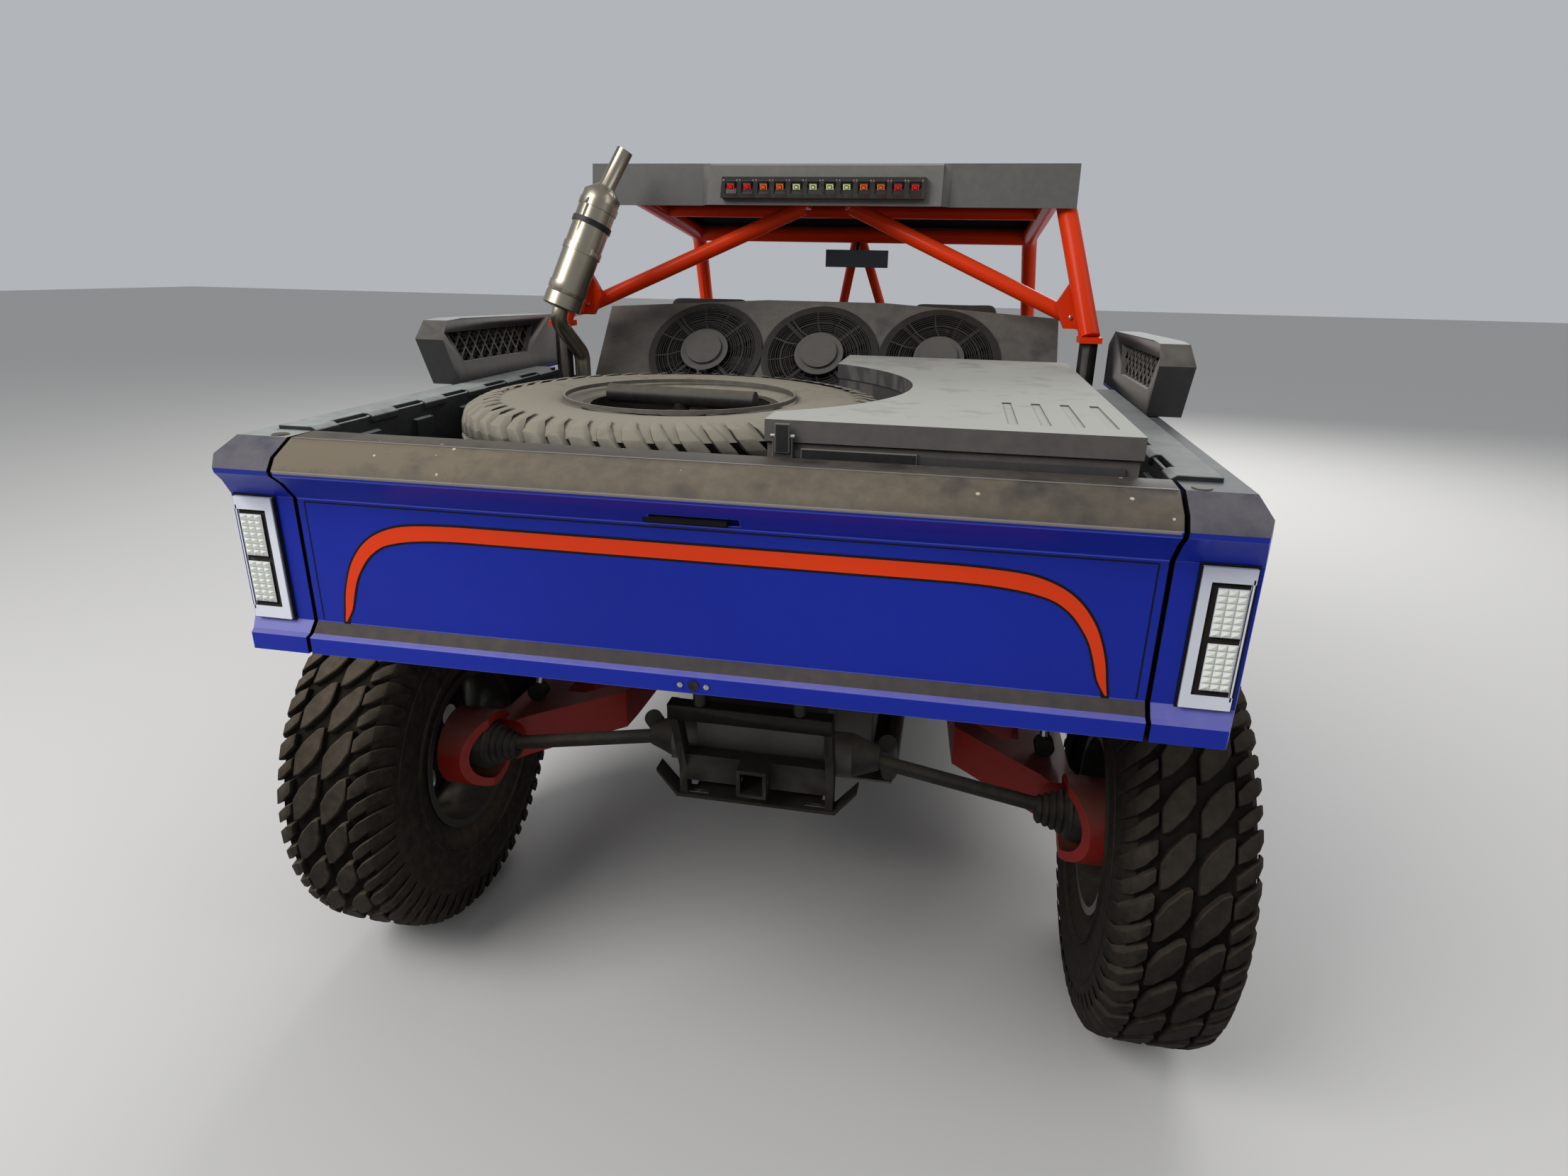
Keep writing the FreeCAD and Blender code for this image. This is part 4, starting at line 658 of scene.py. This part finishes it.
def stripeBand(build, path, y0, y1, material):
    # a solid band between the two edges of a path of (outer, inner) points
    low = [(a[0], y0, a[1]) for a, b in path]
    lowIn = [(b[0], y0, b[1]) for a, b in path]
    n = len(path)
    points = low + lowIn + [(x, y1, z) for x, y, z in low] + [(x, y1, z) for x, y, z in lowIn]
    faces = []
    for i in range(n - 1):
        faces.append([i, i + 1, n + i + 1, n + i])
        faces.append([2 * n + i, 3 * n + i, 3 * n + i + 1, 2 * n + i + 1])
        faces.append([i, 2 * n + i, 2 * n + i + 1, i + 1])
        faces.append([n + i, n + i + 1, 3 * n + i + 1, 3 * n + i])
    faces.append([0, n, 3 * n, 2 * n])
    faces.append([n - 1, 3 * n - 1, 4 * n - 1, 2 * n - 1])
    build.solid(points, faces, material)


stripeRows = (
    # outer x and z, inner x and z on one side, from the tip up and over
    (640, 1018, 637, 1018), (636, 1040, 623, 1042), (631, 1070, 614, 1072), (623, 1098, 604, 1100),
    (612, 1125, 591, 1122), (598, 1147, 577, 1140), (582, 1165, 562, 1153), (562, 1180, 545, 1163),
    (536, 1192, 522, 1170), (505, 1200, 495, 1175), (460, 1204, 455, 1179), (404, 1206, 404, 1181),
)


def smoothed(rows, parts):
    # a curve through the rows
    made = []
    last = len(rows) - 1
    for i in range(last):
        four = list(zip(rows[max(i - 1, 0)], rows[i], rows[i + 1], rows[min(i + 2, last)]))
        for k in range(parts):
            t = k / parts
            made.append([0.5 * (2 * q + (r - p) * t + (2 * p - 5 * q + 4 * r - s) * t * t +
                                (3 * q - p - 3 * r + s) * t ** 3) for p, q, r, s in four])
    return made + [rows[-1]]


def stripePath(grow):
    # outer and inner edge from the left tip over the top to the right tip
    rows = []
    for outX, outZ, inX, inZ in smoothed(stripeRows, 3):
        outer, inner = Vector((-outX, outZ)), Vector((-inX, inZ))
        out = (outer - inner).normalized() * grow
        rows.append((outer + out, inner - out))
    rows[0] = tuple(p - Vector((0, grow * 2)) for p in rows[0])
    return rows + [(Vector((-a.x, a.y)), Vector((-b.x, b.y))) for a, b in reversed(rows)]


stripe = Build("tailgate_stripe")
# the black outline stands 4 mm out round the orange
for grow, thick, film in ((4.0, 0.6, blackFilm), (0.0, 1.2, orangeFilm)):
    stripeBand(stripe, stripePath(grow), gate["face"] + 0.5, gate["face"] - thick, film)
stripe.done("tailgate")


def gateExtras(build):
    # handle slot, seams, painted highlight strips along the crown's top and lower edges, and the
    # small lamp with its two screws
    x0, x1, z0, z1 = (gate["slot" + way] for way in ("Left", "Right", "Low", "High"))
    build.box((x0, -1838, z0), (x1, -1822, z1), blackFilm, 2)
    build.box((x0, -1834, z1 + 0.5), (x1, -1824, z1 + 4), lampDark, 1)
    x, z0, z1, wide = (gate["seam" + part] for part in ("X", "Low", "High", "Wide"))
    seams = ((-x, x, z1, z1 + wide), (-x, wide - x, z0, z1), (x - wide, x, z0, z1))
    for left, right, low, high in seams:
        build.box((left, gate["face"] - 0.3, low), (right, gate["face"] + 1, high), blackFilm)
    x = gate["trim"]
    # pale strip along the crown's top edge and a pale lip under it: painted highlight
    build.box((-x, -1817.4, 1336.2), (x, -1814.2, 1337.5), crownHighlight)
    lip = [[(-x, -1874.9, outZ), (x, -1874.9, outZ), (x, -1873, inZ), (-x, -1873, inZ)]
           for outZ, inZ in ((1289.6, 1287), (1292, 1293))]
    build.prism(*lip, crownHighlight)
    for x in (-22, 22):
        place = Matrix.Translation((x, gate["lampY"], gate["lampZ"]))
        turned = Matrix.Rotation(math.pi / 2, 4, "Z") @ Matrix.Rotation(math.pi, 4, "Y")
        build.lathe([(0, 0.1), (0, 5), (3, 5), (4, 0.1)], brightMetal, place @ turned, 6)
    place = Matrix.Translation((0, gate["lampY"], gate["lampZ"]))
    build.lathe([(0, 0.1), (0, 9), (3, 9), (2, 6), (1, 0.1)], lampDark,
                place @ Matrix.Rotation(-math.pi / 2, 4, "Z"), 24)


refined("tailgate", gateLook, 2.5, extra=gateExtras)


# Bedsides
flank = {"jambIn": 700, "jambOut": 706, "jambY": -1750, "railZ": 1330, "crownY": -1800,
         "ledgeY": -1815, "plug": (728, -1800, 1336.5), "shadeStripIn": 699.5, "shadeStripOut": 704}


def sideLook(centre, normal):
    if flank["jambIn"] < abs(centre.x) < flank["jambOut"] and centre.y < flank["jambY"]:
        return shadowBlack
    if centre.z > flank["railZ"] and normal.z > 0.6:
        # the right rail's top is the darker copy: painted shade
        return linerPlastic if centre.x < 0 else railRightShade
    # corner crowns take the painted reflection
    if centre.z > gate["crownLow"] and normal.z > -0.1 and centre.y < flank["crownY"]:
        return cornerReflection
    # upward chamfer of the corner ledge: painted sky reflection, with dust
    if centre.z < gate["ledgeTop"] and normal.z > 0.4 and centre.y < flank["ledgeY"]:
        return blueBevelReflection
    return bluePaint


def sideExtras(build):
    # round plugs on the corner tops, and a dark strip behind the gap to the tailgate: painted
    # shade that hides what shows through it
    x, y, z = flank["plug"]
    for s in (1, -1):
        x0, x1 = sorted((s * flank["shadeStripIn"], s * flank["shadeStripOut"]))
        # dark strip in the gap: painted shade
        build.box((x0, -1812, 1004), (x1, -1786, 1322), shadowBlack)
        place = Matrix.Translation((s * x, y, z)) @ Matrix.Rotation(-math.pi / 2, 4, "Y")
        build.lathe([(0, 0.1), (0, 15), (2.5, 13), (2.5, 0.1)], darkPlastic, place, 24)


refined("bedsides", sideLook, 2.5, extra=sideExtras)
refined("bed_liner", linerPlastic, 2.0)


# Tail lamps: pale frame, dark inset and two groups of lenses
inset = {"x": 753, "y": -1836, "low": 1037, "high": 1214}


def lampLook(centre, normal):
    inside = abs(centre.x) > inset["x"] and inset["low"] < centre.z < inset["high"]
    return lampDark if inside and centre.y > inset["y"] else lampFrame


lampCells = {"pitchX": 13.6, "pitchZ": 10.4, "deep": 5.5, "rows": 7, "feet": (1047, 1131),
             "middle": 785, "y": -1836.1}


def lampExtras(build):
    # outer rims, gaskets, and clusters of faceted cells in three columns
    high = lampCells["pitchZ"]
    unit = Build("cell")
    ring = [(x, 0, z) for x, z in ((-6.1, 0.6), (6.1, 0.6), (6.1, 9.8), (-6.1, 9.8))]
    tip = (0, -lampCells["deep"], high * 0.62)
    unit.solid(ring + [tip], [[0, 1, 4], [1, 2, 4], [2, 3, 4], [3, 0, 4], [3, 2, 1, 0]], lensClear)
    column = repeated(unit, lampCells["rows"], (0, 0, high), (0, 0, 0))
    for s in (1, -1):
        x0, x1 = sorted((s * 807, s * 811.5))
        build.box((x0, -1837, 1030), (x1, -1830, 1221), lampFrame, 1)
        x0, x1 = sorted((s * 736, s * 816))
        build.box((x0, -1829.5, 1012), (x1, -1827.2, 1239), blackFilm)
        for low in lampCells["feet"]:
            for k in (-1, 0, 1):
                x = s * lampCells["middle"] + lampCells["pitchX"] * k
                build.take(column, Matrix.Translation((x, lampCells["y"], low)))


refined("taillights", lampLook, 1.5, extra=lampExtras)


# Storage box
boxFront = {"latchX": 122, "latchY": -1749, "plateLeft": 150, "plateRight": 330}


def latch(build, x, y):
    # toggle latch over the seam
    build.box((x - 16, y - 12, 1338), (x + 16, y - 4.5, 1376), greyPlastic, 2)
    build.box((x - 12, y - 16, 1346), (x + 12, y - 10, 1392), darkPlastic, 2)
    build.rod((x - 19, y - 9, 1372), (x + 19, y - 9, 1372), 4, brightMetal, 10)


def trayExtras(build):
    latch(build, boxFront["latchX"], boxFront["latchY"])
    build.box((boxFront["plateLeft"], -1757.6, 1330), (boxFront["plateRight"], -1748, 1354),
              darkPlastic, 2)


def lidLook(centre, normal):
    # the top takes the pale finish with its painted sheen, the sides the tray's plastic
    return lidDustAndSheen if normal.z > 0.5 else trayPlastic


refined("box_lid", lidLook, 3.0)
refined("storage_box", trayPlastic, 3.0, extra=trayExtras)

# Fan panel
fan = {"middles": (-328, 0, 328), "rings": (77, 90, 101, 117, 130, 141), "ribs": 12, "motor": 68.5,
       "place": (0, -591, 1383), "lean": 39.9}
panelPlace = Matrix.Translation(fan["place"]) @ Matrix.Rotation(-math.radians(fan["lean"]), 4, "X")
refined("fan_shroud", greyPlastic, 3.0)
refined("radiator_core", coreMetal, 0)


def guardLook(centre, normal):
    x = min(fan["middles"], key=lambda middle: abs(centre.x - middle))
    local = panelPlace.inverted() @ centre
    isMotor = math.hypot(centre.x - x, local.z) < fan["motor"] and local.y < -9
    return motorPlastic if isMotor else guardEnamel


def guardWires(build):
    # hoops and slanting ribs over each rotor
    for x in fan["middles"]:
        for r in fan["rings"]:
            ring = [(x + r * math.cos(t), -5, r * math.sin(t))
                    for t in (2 * math.pi * k / 48 for k in range(48))]
            hoop = Build("hoop")
            hoop.tube(ring, 1.5, guardEnamel, 6, True)
            build.take(hoop, panelPlace)
        rib = Build("rib")
        rib.tube([(66, 0, 5.5), (100, 14, 5), (146, 20, 4)], 2.2, guardEnamel, 6)
        turned = Matrix.Rotation(math.pi / 2, 4, "X")
        ribs = Build("ribs")
        ribs.repeat(rib, fan["ribs"], turn=(0, 0, 2 * math.pi / fan["ribs"]))
        build.take(ribs, panelPlace @ Matrix.Translation((x, 0, 0)) @ turned)


refined("fan_guards", guardLook, 1.0, extra=guardWires)
for name in ("left", "middle", "right"):
    refined("fan_rotor_" + name, guardEnamel, 0.8)
print("bed made")

# Everything that keeps its CAD form
plainLooks = {
    # node: (material, edge width)
    "chassis_frame": (blackEnamel, 0),
    "cabin_tub": (darkPlastic, 1.5),
    "dashboard": (darkPlastic, 5.0),
    "steering_column": (blackEnamel, 0),
    "steering_wheel": (darkPlastic, 0),
    "hood_panel": (bluePaint, 2.0),
    "front_fenders": (bluePaint, 2.0),
    "front_fascia": (greyPlastic, 4.0),
    "front_bumper": (blackEnamel, 0),
    "belly_skid": (castMetal, 1.0),
    "engine_block": (castMetal, 8.0),
    "transaxle": (castMetal, 5.0),
    "rear_arms": (redEnamel, 3.0),
    "rear_driveshafts": (bootRubber, 1.0),
    "rear_hitch": (blackSteel, 1.5),
    "front_arms": (redEnamel, 2.0),
    "knuckle_left": (castMetal, 2.0),
    "knuckle_right": (castMetal, 2.0),
    "tie_rods": (blackSteel, 1.0),
    "steering_rack": (castMetal, 1.0),
    "front_driveshafts": (bootRubber, 1.0),
    "front_diff": (castMetal, 4.0),
    "door_left": (bluePaint, 1.5),
    "door_right": (bluePaint, 1.5),
}
for node, (material, width) in plainLooks.items():
    refined(node, material, width)


def bolt(build, place, across, radius=5.5):
    # a hexagon head that stands out along across
    turned = Vector((1, 0, 0)).rotation_difference(Vector(across)).to_matrix().to_4x4()
    head = [(-1, 0.1), (-1, radius), (3.5, radius), (4.5, radius * 0.7), (4.5, 0.1)]
    build.lathe(head, brightMetal, Matrix.Translation(place) @ turned, 6)


cageBolts = ((654, 1508), (676, 1512), (662, 1578))


def cageExtras(build):
    for s in (1, -1):
        for x, z in cageBolts:
            bolt(build, (s * x, -638, z), (0, -1, 0))


refined("roll_cage", cageEnamel, 0, extra=cageExtras)


def roofLook(centre, normal):
    return shadowBlack if normal.z < -0.5 else roofSheet


refined("roof_panel", roofLook, 1.0)
can = {"low": Vector((-650, -801, 1530)), "high": Vector((-560, -731, 1780)),
       "collar": 49.5, "band": 51.5, "bandAt": 190, "bandWide": 14}


def mufflerExtras(build):
    # a collar round the low end, and the band that holds the can
    run = (can["high"] - can["low"]).normalized()
    build.tube([can["low"] - run * 30, can["low"] - run * 28, can["low"] + run * 4],
               [46, can["collar"], can["collar"]], brushedSteel, 40)
    at = can["low"] + run * can["bandAt"]
    build.tube([at, at + run * can["bandWide"]], can["band"], blackEnamel, 40)


refined("muffler", brushedSteel, 0, extra=mufflerExtras)


beam = {"bowls": (338, 412), "y": 1782, "z": 862, "slot": (304, 446)}


def headlightExtras(build):
    # a dark slot, and two bowls with lenses on each side
    for s in (1, -1):
        x0, x1 = sorted(s * x for x in beam["slot"])
        build.box((x0, 1786, 824), (x1, 1793.4, 850), lampDark, 1)
        for x in beam["bowls"]:
            place = Matrix.Translation((s * x, beam["y"], beam["z"]))
            place = place @ Matrix.Rotation(math.pi / 2, 4, "Z")
            bowl = [(0, 0.1), (0, 28), (11.5, 28), (11.5, 23), (8, 21), (8, 0.1)]
            build.lathe(bowl, brightMetal, place, 32)
            build.lathe([(8, 0.1), (8, 20), (10, 15), (11, 0.1)], lensClear, place, 32)


refined("headlights", lampDark, 2.0, extra=headlightExtras)


scoop = {"skin": 826, "backIn": 781, "backOut": 785, "barIn": 777.5, "barOut": 781.5,
         "firstY": -1127, "lastY": -780, "step": 46, "lean": 34, "thick": 5,
         "lowZ": 1394, "highZ": 1456, "rearY": -1165, "frontY": -772}


def scoopLook(centre, normal):
    outward = normal.x * (1 if centre.x > 0 else -1)
    if abs(centre.x) > scoop["skin"] and (outward > 0.3 or normal.y < -0.6):
        return bluePaint
    if outward < -0.9 and scoop["backIn"] < abs(centre.x) < scoop["backOut"]:
        return shadowBlack
    return paleTop if normal.z > 0.7 else greyPlastic


def scoopExtras(build):
    # slanting bars between the solid's own, so that the mesh is twice as fine
    thick, lowZ, highZ = scoop["thick"], scoop["lowZ"], scoop["highZ"]
    for s in (1, -1):
        x0, x1 = sorted((s * scoop["barIn"], s * scoop["barOut"]))
        for middle in range(scoop["firstY"], scoop["lastY"], scoop["step"]):
            for lean in (-scoop["lean"], scoop["lean"]):
                low, high = middle - lean, middle + lean
                if min(low, high) < scoop["rearY"] or max(low, high) > scoop["frontY"]:
                    continue
                ends = [[(x0, y, z), (x1, y, z), (x1, y + thick, z), (x0, y + thick, z)]
                        for y, z in ((low, lowZ), (high, highZ))]
                build.prism(*ends, darkPlastic)


refined("side_scoops", scoopLook, 2.5, extra=scoopExtras)


def mirrorLook(centre, normal):
    return mirrorGlass if normal.y < -0.9 and centre.z < 1680 else darkPlastic


refined("rear_view_mirror", mirrorLook, 1.0)
print("cad forms refined")


# Dampers: the body, rod and eyes with a wound spring
damperEnds = (
    # lower and upper end on the right side
    ((600.0, 1368.0, 616.0), (438.0, 1368.0, 950.0)),
    ((664.0, -1100.0, 524.3), (652.0, -900.0, 975.2)),
)
coil = {"turns": 8, "radius": 45.0, "wire": 6.5, "stepsPerTurn": 20}
damperRadii = {"body": 34, "rod": 11, "plate": 52, "eye": 24}


def damper(build, low, high):
    low, high = Vector(low), Vector(high)
    run = high - low
    length = run.length
    run.normalize()
    side = run.orthogonal().normalized()
    over = run.cross(side)
    build.rod(low + run * length * 0.45, low + run * length * 0.97, damperRadii["body"],
              brushedSteel)
    build.rod(low, low + run * length * 0.5, damperRadii["rod"], brightMetal)
    for along in (0.12, 0.76):
        build.rod(low + run * length * along, low + run * (length * along + 9),
                  damperRadii["plate"], blackEnamel, 32)
    count = coil["turns"] * coil["stepsPerTurn"]
    path = []
    for k in range(count + 1):
        t = 2 * math.pi * k / coil["stepsPerTurn"]
        along = length * (0.14 + 0.61 * k / count)
        path.append(low + run * along + (side * math.cos(t) + over * math.sin(t)) * coil["radius"])
    build.tube(path, coil["wire"], springEnamel, 8)
    for eye in (low, high):
        build.rod(eye - Vector((0, 18, 0)), eye + Vector((0, 18, 0)), damperRadii["eye"],
                  blackEnamel)


dampers = Build("dampers")
for low, high in damperEnds:
    for s in (1, -1):
        damper(dampers, (s * low[0], low[1], low[2]), (s * high[0], high[1], high[2]))
dampers.done("chassis", "shocks")
print("dampers made")


# Seats: cushions and backs blown up as cloth from slightly smaller shapes
seat = {"x": 365.0, "voxel": 0.013, "pressure": 4.0, "reach": 0.014, "frames": 20,
        "seamX": 0.15, "seamWidth": 0.006, "seamDepth": 0.005, "seamTop": 1.36}
seamRows = {"backs": (0.86, 0.98, 1.1, 1.22, 1.34), "cushions": (-0.16, -0.06, 0.04)}


def seatShape(kind):
    build = Build("seat_" + kind)
    for s in (1, -1):
        x = s * seat["x"]
        if kind == "cushions":
            half = 222
            pad = [(-280, 572), (140, 572), (166, 694), (144, 716), (-60, 676), (-270, 668)]
            wing = [(-225, 612), (130, 612), (146, 756), (40, 764), (-190, 726)]
        else:
            half = 196
            pad = [(-282, 668), (-204, 700), (-338, 1352), (-356, 1500), (-376, 1538),
                   (-410, 1534), (-420, 1500), (-410, 1390)]
            wing = [(-252, 660), (-112, 742), (-246, 1166), (-352, 1278), (-340, 1000)]
        spans = [(x - half, x + half, pad)]
        spans += [(x + e * 235 - 16, x + e * 235 + 16, wing) for e in (1, -1)]
        for x0, x1, side in spans:
            build.prism([(x0, y, z) for y, z in side], [(x1, y, z) for y, z in side], seatCloth)
    if kind == "backs":
        # shoulders slope in towards the top
        for vert in build.mesh.verts:
            if vert.co.z > 1300:
                x = seat["x"] if vert.co.x > 0 else -seat["x"]
                vert.co.x = x + (vert.co.x - x) * (1 - 0.42 * (vert.co.z - 1300) / 240)
    bmesh.ops.recalc_face_normals(build.mesh, faces=build.mesh.faces)
    build.mesh.transform(Matrix.Scale(mm, 4))
    mesh = bpy.data.meshes.new(build.name)
    build.mesh.to_mesh(mesh)
    build.mesh.free()
    return mesh


def inflated(kind):
    # a fine skin over the shape, blown up, held within reach and smoothed
    item = bpy.data.objects.new("seat_" + kind, seatShape(kind))
    bpy.context.scene.collection.objects.link(item)
    remesh = item.modifiers.new("skin", "REMESH")
    remesh.mode = "VOXEL"
    remesh.voxel_size = seat["voxel"]
    item.data = baked(item)
    item.modifiers.clear()
    start = [v.co.copy() for v in item.data.vertices]
    cloth = item.modifiers.new("cloth", "CLOTH")
    cloth.settings.use_pressure = True
    cloth.settings.uniform_pressure_force = seat["pressure"]
    cloth.settings.effector_weights.gravity = 0
    cloth.point_cache.frame_start = 1
    cloth.point_cache.frame_end = seat["frames"]
    for index in range(1, seat["frames"] + 1):
        bpy.context.scene.frame_set(index)
    item.data = baked(item)
    item.modifiers.clear()
    bpy.context.scene.frame_set(1)
    for vert, old in zip(item.data.vertices, start):
        move = vert.co - old
        if move.length > seat["reach"]:
            vert.co = old + move.normalized() * seat["reach"]
    smooth = item.modifiers.new("smooth", "SMOOTH")
    smooth.factor = 0.5
    smooth.iterations = 6
    fine = item.modifiers.new("fine", "SUBSURF")
    fine.levels = fine.render_levels = 1
    item.data = baked(item)
    item.modifiers.clear()
    # sewn channels pressed in across the pad and along both its sides
    normals = [v.normal.copy() for v in item.data.vertices]
    for vert, normal in zip(item.data.vertices, normals):
        offset = abs(abs(vert.co.x) - seat["x"] * mm)
        along = vert.co.z if kind == "backs" else vert.co.y
        near = min(abs(along - row) for row in seamRows[kind])
        side = abs(offset - seat["seamX"])
        depth = 0.0
        if offset < seat["seamX"]:
            depth = math.exp(-(near / seat["seamWidth"]) ** 2)
        if vert.co.z < seat["seamTop"]:
            depth = max(depth, math.exp(-(side / seat["seamWidth"]) ** 2))
        vert.co -= normal * seat["seamDepth"] * depth
    item.data.materials.clear()
    item.data.materials.append(seatCloth)
    item.data.shade_smooth()
    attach(item, "chassis")
    if kind == "backs":
        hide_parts("seats")
    return item


for kind in ("cushions", "backs"):
    inflated(kind)
print("seats made")


# Rear light bar: twelve lenses and their corner screws
bar = {"startX": -261, "pitch": 43.5, "y": -646.5, "z": 1809, "lean": math.atan2(39.0, 99.0)}


def barExtras(build):
    tones = (lensRed, lensRed, lensAmber, lensAmber, lensPale, lensPale, lensPale, lensPale,
             lensAmber, lensAmber, lensRed, lensRed)
    for index, tone in enumerate(tones):
        x = bar["startX"] + (index + 0.5) * bar["pitch"]
        place = Matrix.Translation((x, bar["y"], bar["z"])) @ Matrix.Rotation(bar["lean"], 4, "X")
        lens = Build("lens")
        lens.box((-14.5, 5, -14.5), (14.5, 14, 14.5), lampDark, 2)
        lens.box((-12, 2.5, -10), (12, 8, 10), tone, 4)
        lens.box((-6, 0.5, -5), (6, 6, 5), tone, 2)
        for u in (-18, 18):
            for v in (-16, 16):
                lens.rod((u, -2.2, v), (u, 3, v), 2.2, brightMetal, 8)
        build.take(lens, place)


refined("rear_light_bar", lampDark, 1.0, extra=barExtras)

# Camera at the photo's viewpoint, angles in degrees and place in metres
view = {"yaw": -10.46, "pitch": -20.03, "roll": 1.12, "place": (0.376, -3.098, 1.619),
        "lens": 20.29}
yaw, pitch, roll = (math.radians(view[key]) for key in ("yaw", "pitch", "roll"))
ahead = Vector((math.sin(yaw) * math.cos(pitch), math.cos(yaw) * math.cos(pitch), math.sin(pitch)))
right = Vector((math.cos(yaw), -math.sin(yaw), 0))
over = right.cross(ahead)
right, over = (right * math.cos(roll) + over * math.sin(roll),
               over * math.cos(roll) - right * math.sin(roll))
eye = bpy.data.cameras.new("photo_view")
eye.lens = view["lens"]
eye.sensor_width = 36.0
eye.clip_start = 0.05
camera = bpy.data.objects.new("photo_view", eye)
turned = Matrix((right, over, -ahead)).transposed().to_4x4()
camera.matrix_world = Matrix.Translation(view["place"]) @ turned
bpy.context.scene.collection.objects.link(camera)
bpy.context.scene.camera = camera

# Stage
floorPaint = Paint("stage_floor")
floorPaint.set(Base_Color=tint(196, 194, 190), Roughness=0.85)
plane = bpy.data.meshes.new("stage_floor")
reach = 40.0
corners = [(-reach, -reach, 0), (reach, -reach, 0), (reach, reach, 0), (-reach, reach, 0)]
plane.from_pydata(corners, [], [(0, 1, 2, 3)])
plane.materials.append(floorPaint.material)
floor = bpy.data.objects.new("stage_floor", plane)
bpy.context.scene.collection.objects.link(floor)


def areaLamp(name, place, target, size, power):
    data = bpy.data.lights.new(name, "AREA")
    data.shape = "RECTANGLE"
    data.size, data.size_y = size
    data.energy = power
    lamp = bpy.data.objects.new(name, data)
    lamp.location = place
    lamp.rotation_euler = (Vector(target) - Vector(place)).to_track_quat("-Z", "Y").to_euler()
    bpy.context.scene.collection.objects.link(lamp)
    return lamp


lamps = [
    areaLamp("key", (-3.5, -4.5, 5.0), (0, -0.5, 0.8), (4.0, 3.0), 300),
    areaLamp("front", (1.0, 6.0, 5.0), (0, 0, 1.0), (7.0, 4.0), 460),
    areaLamp("fill", (5.0, -2.5, 3.5), (0, -0.5, 0.9), (3.0, 3.0), 40),
]
world = bpy.data.worlds.new("soft_sky")
bpy.context.scene.world = world
world.use_nodes = True
sky = world.node_tree.nodes["Background"]
sky.inputs[0].default_value = tint(232, 236, 242)
sky.inputs[1].default_value = 0.55
bpy.context.scene.view_settings.view_transform = "Standard"
print("scene ready")
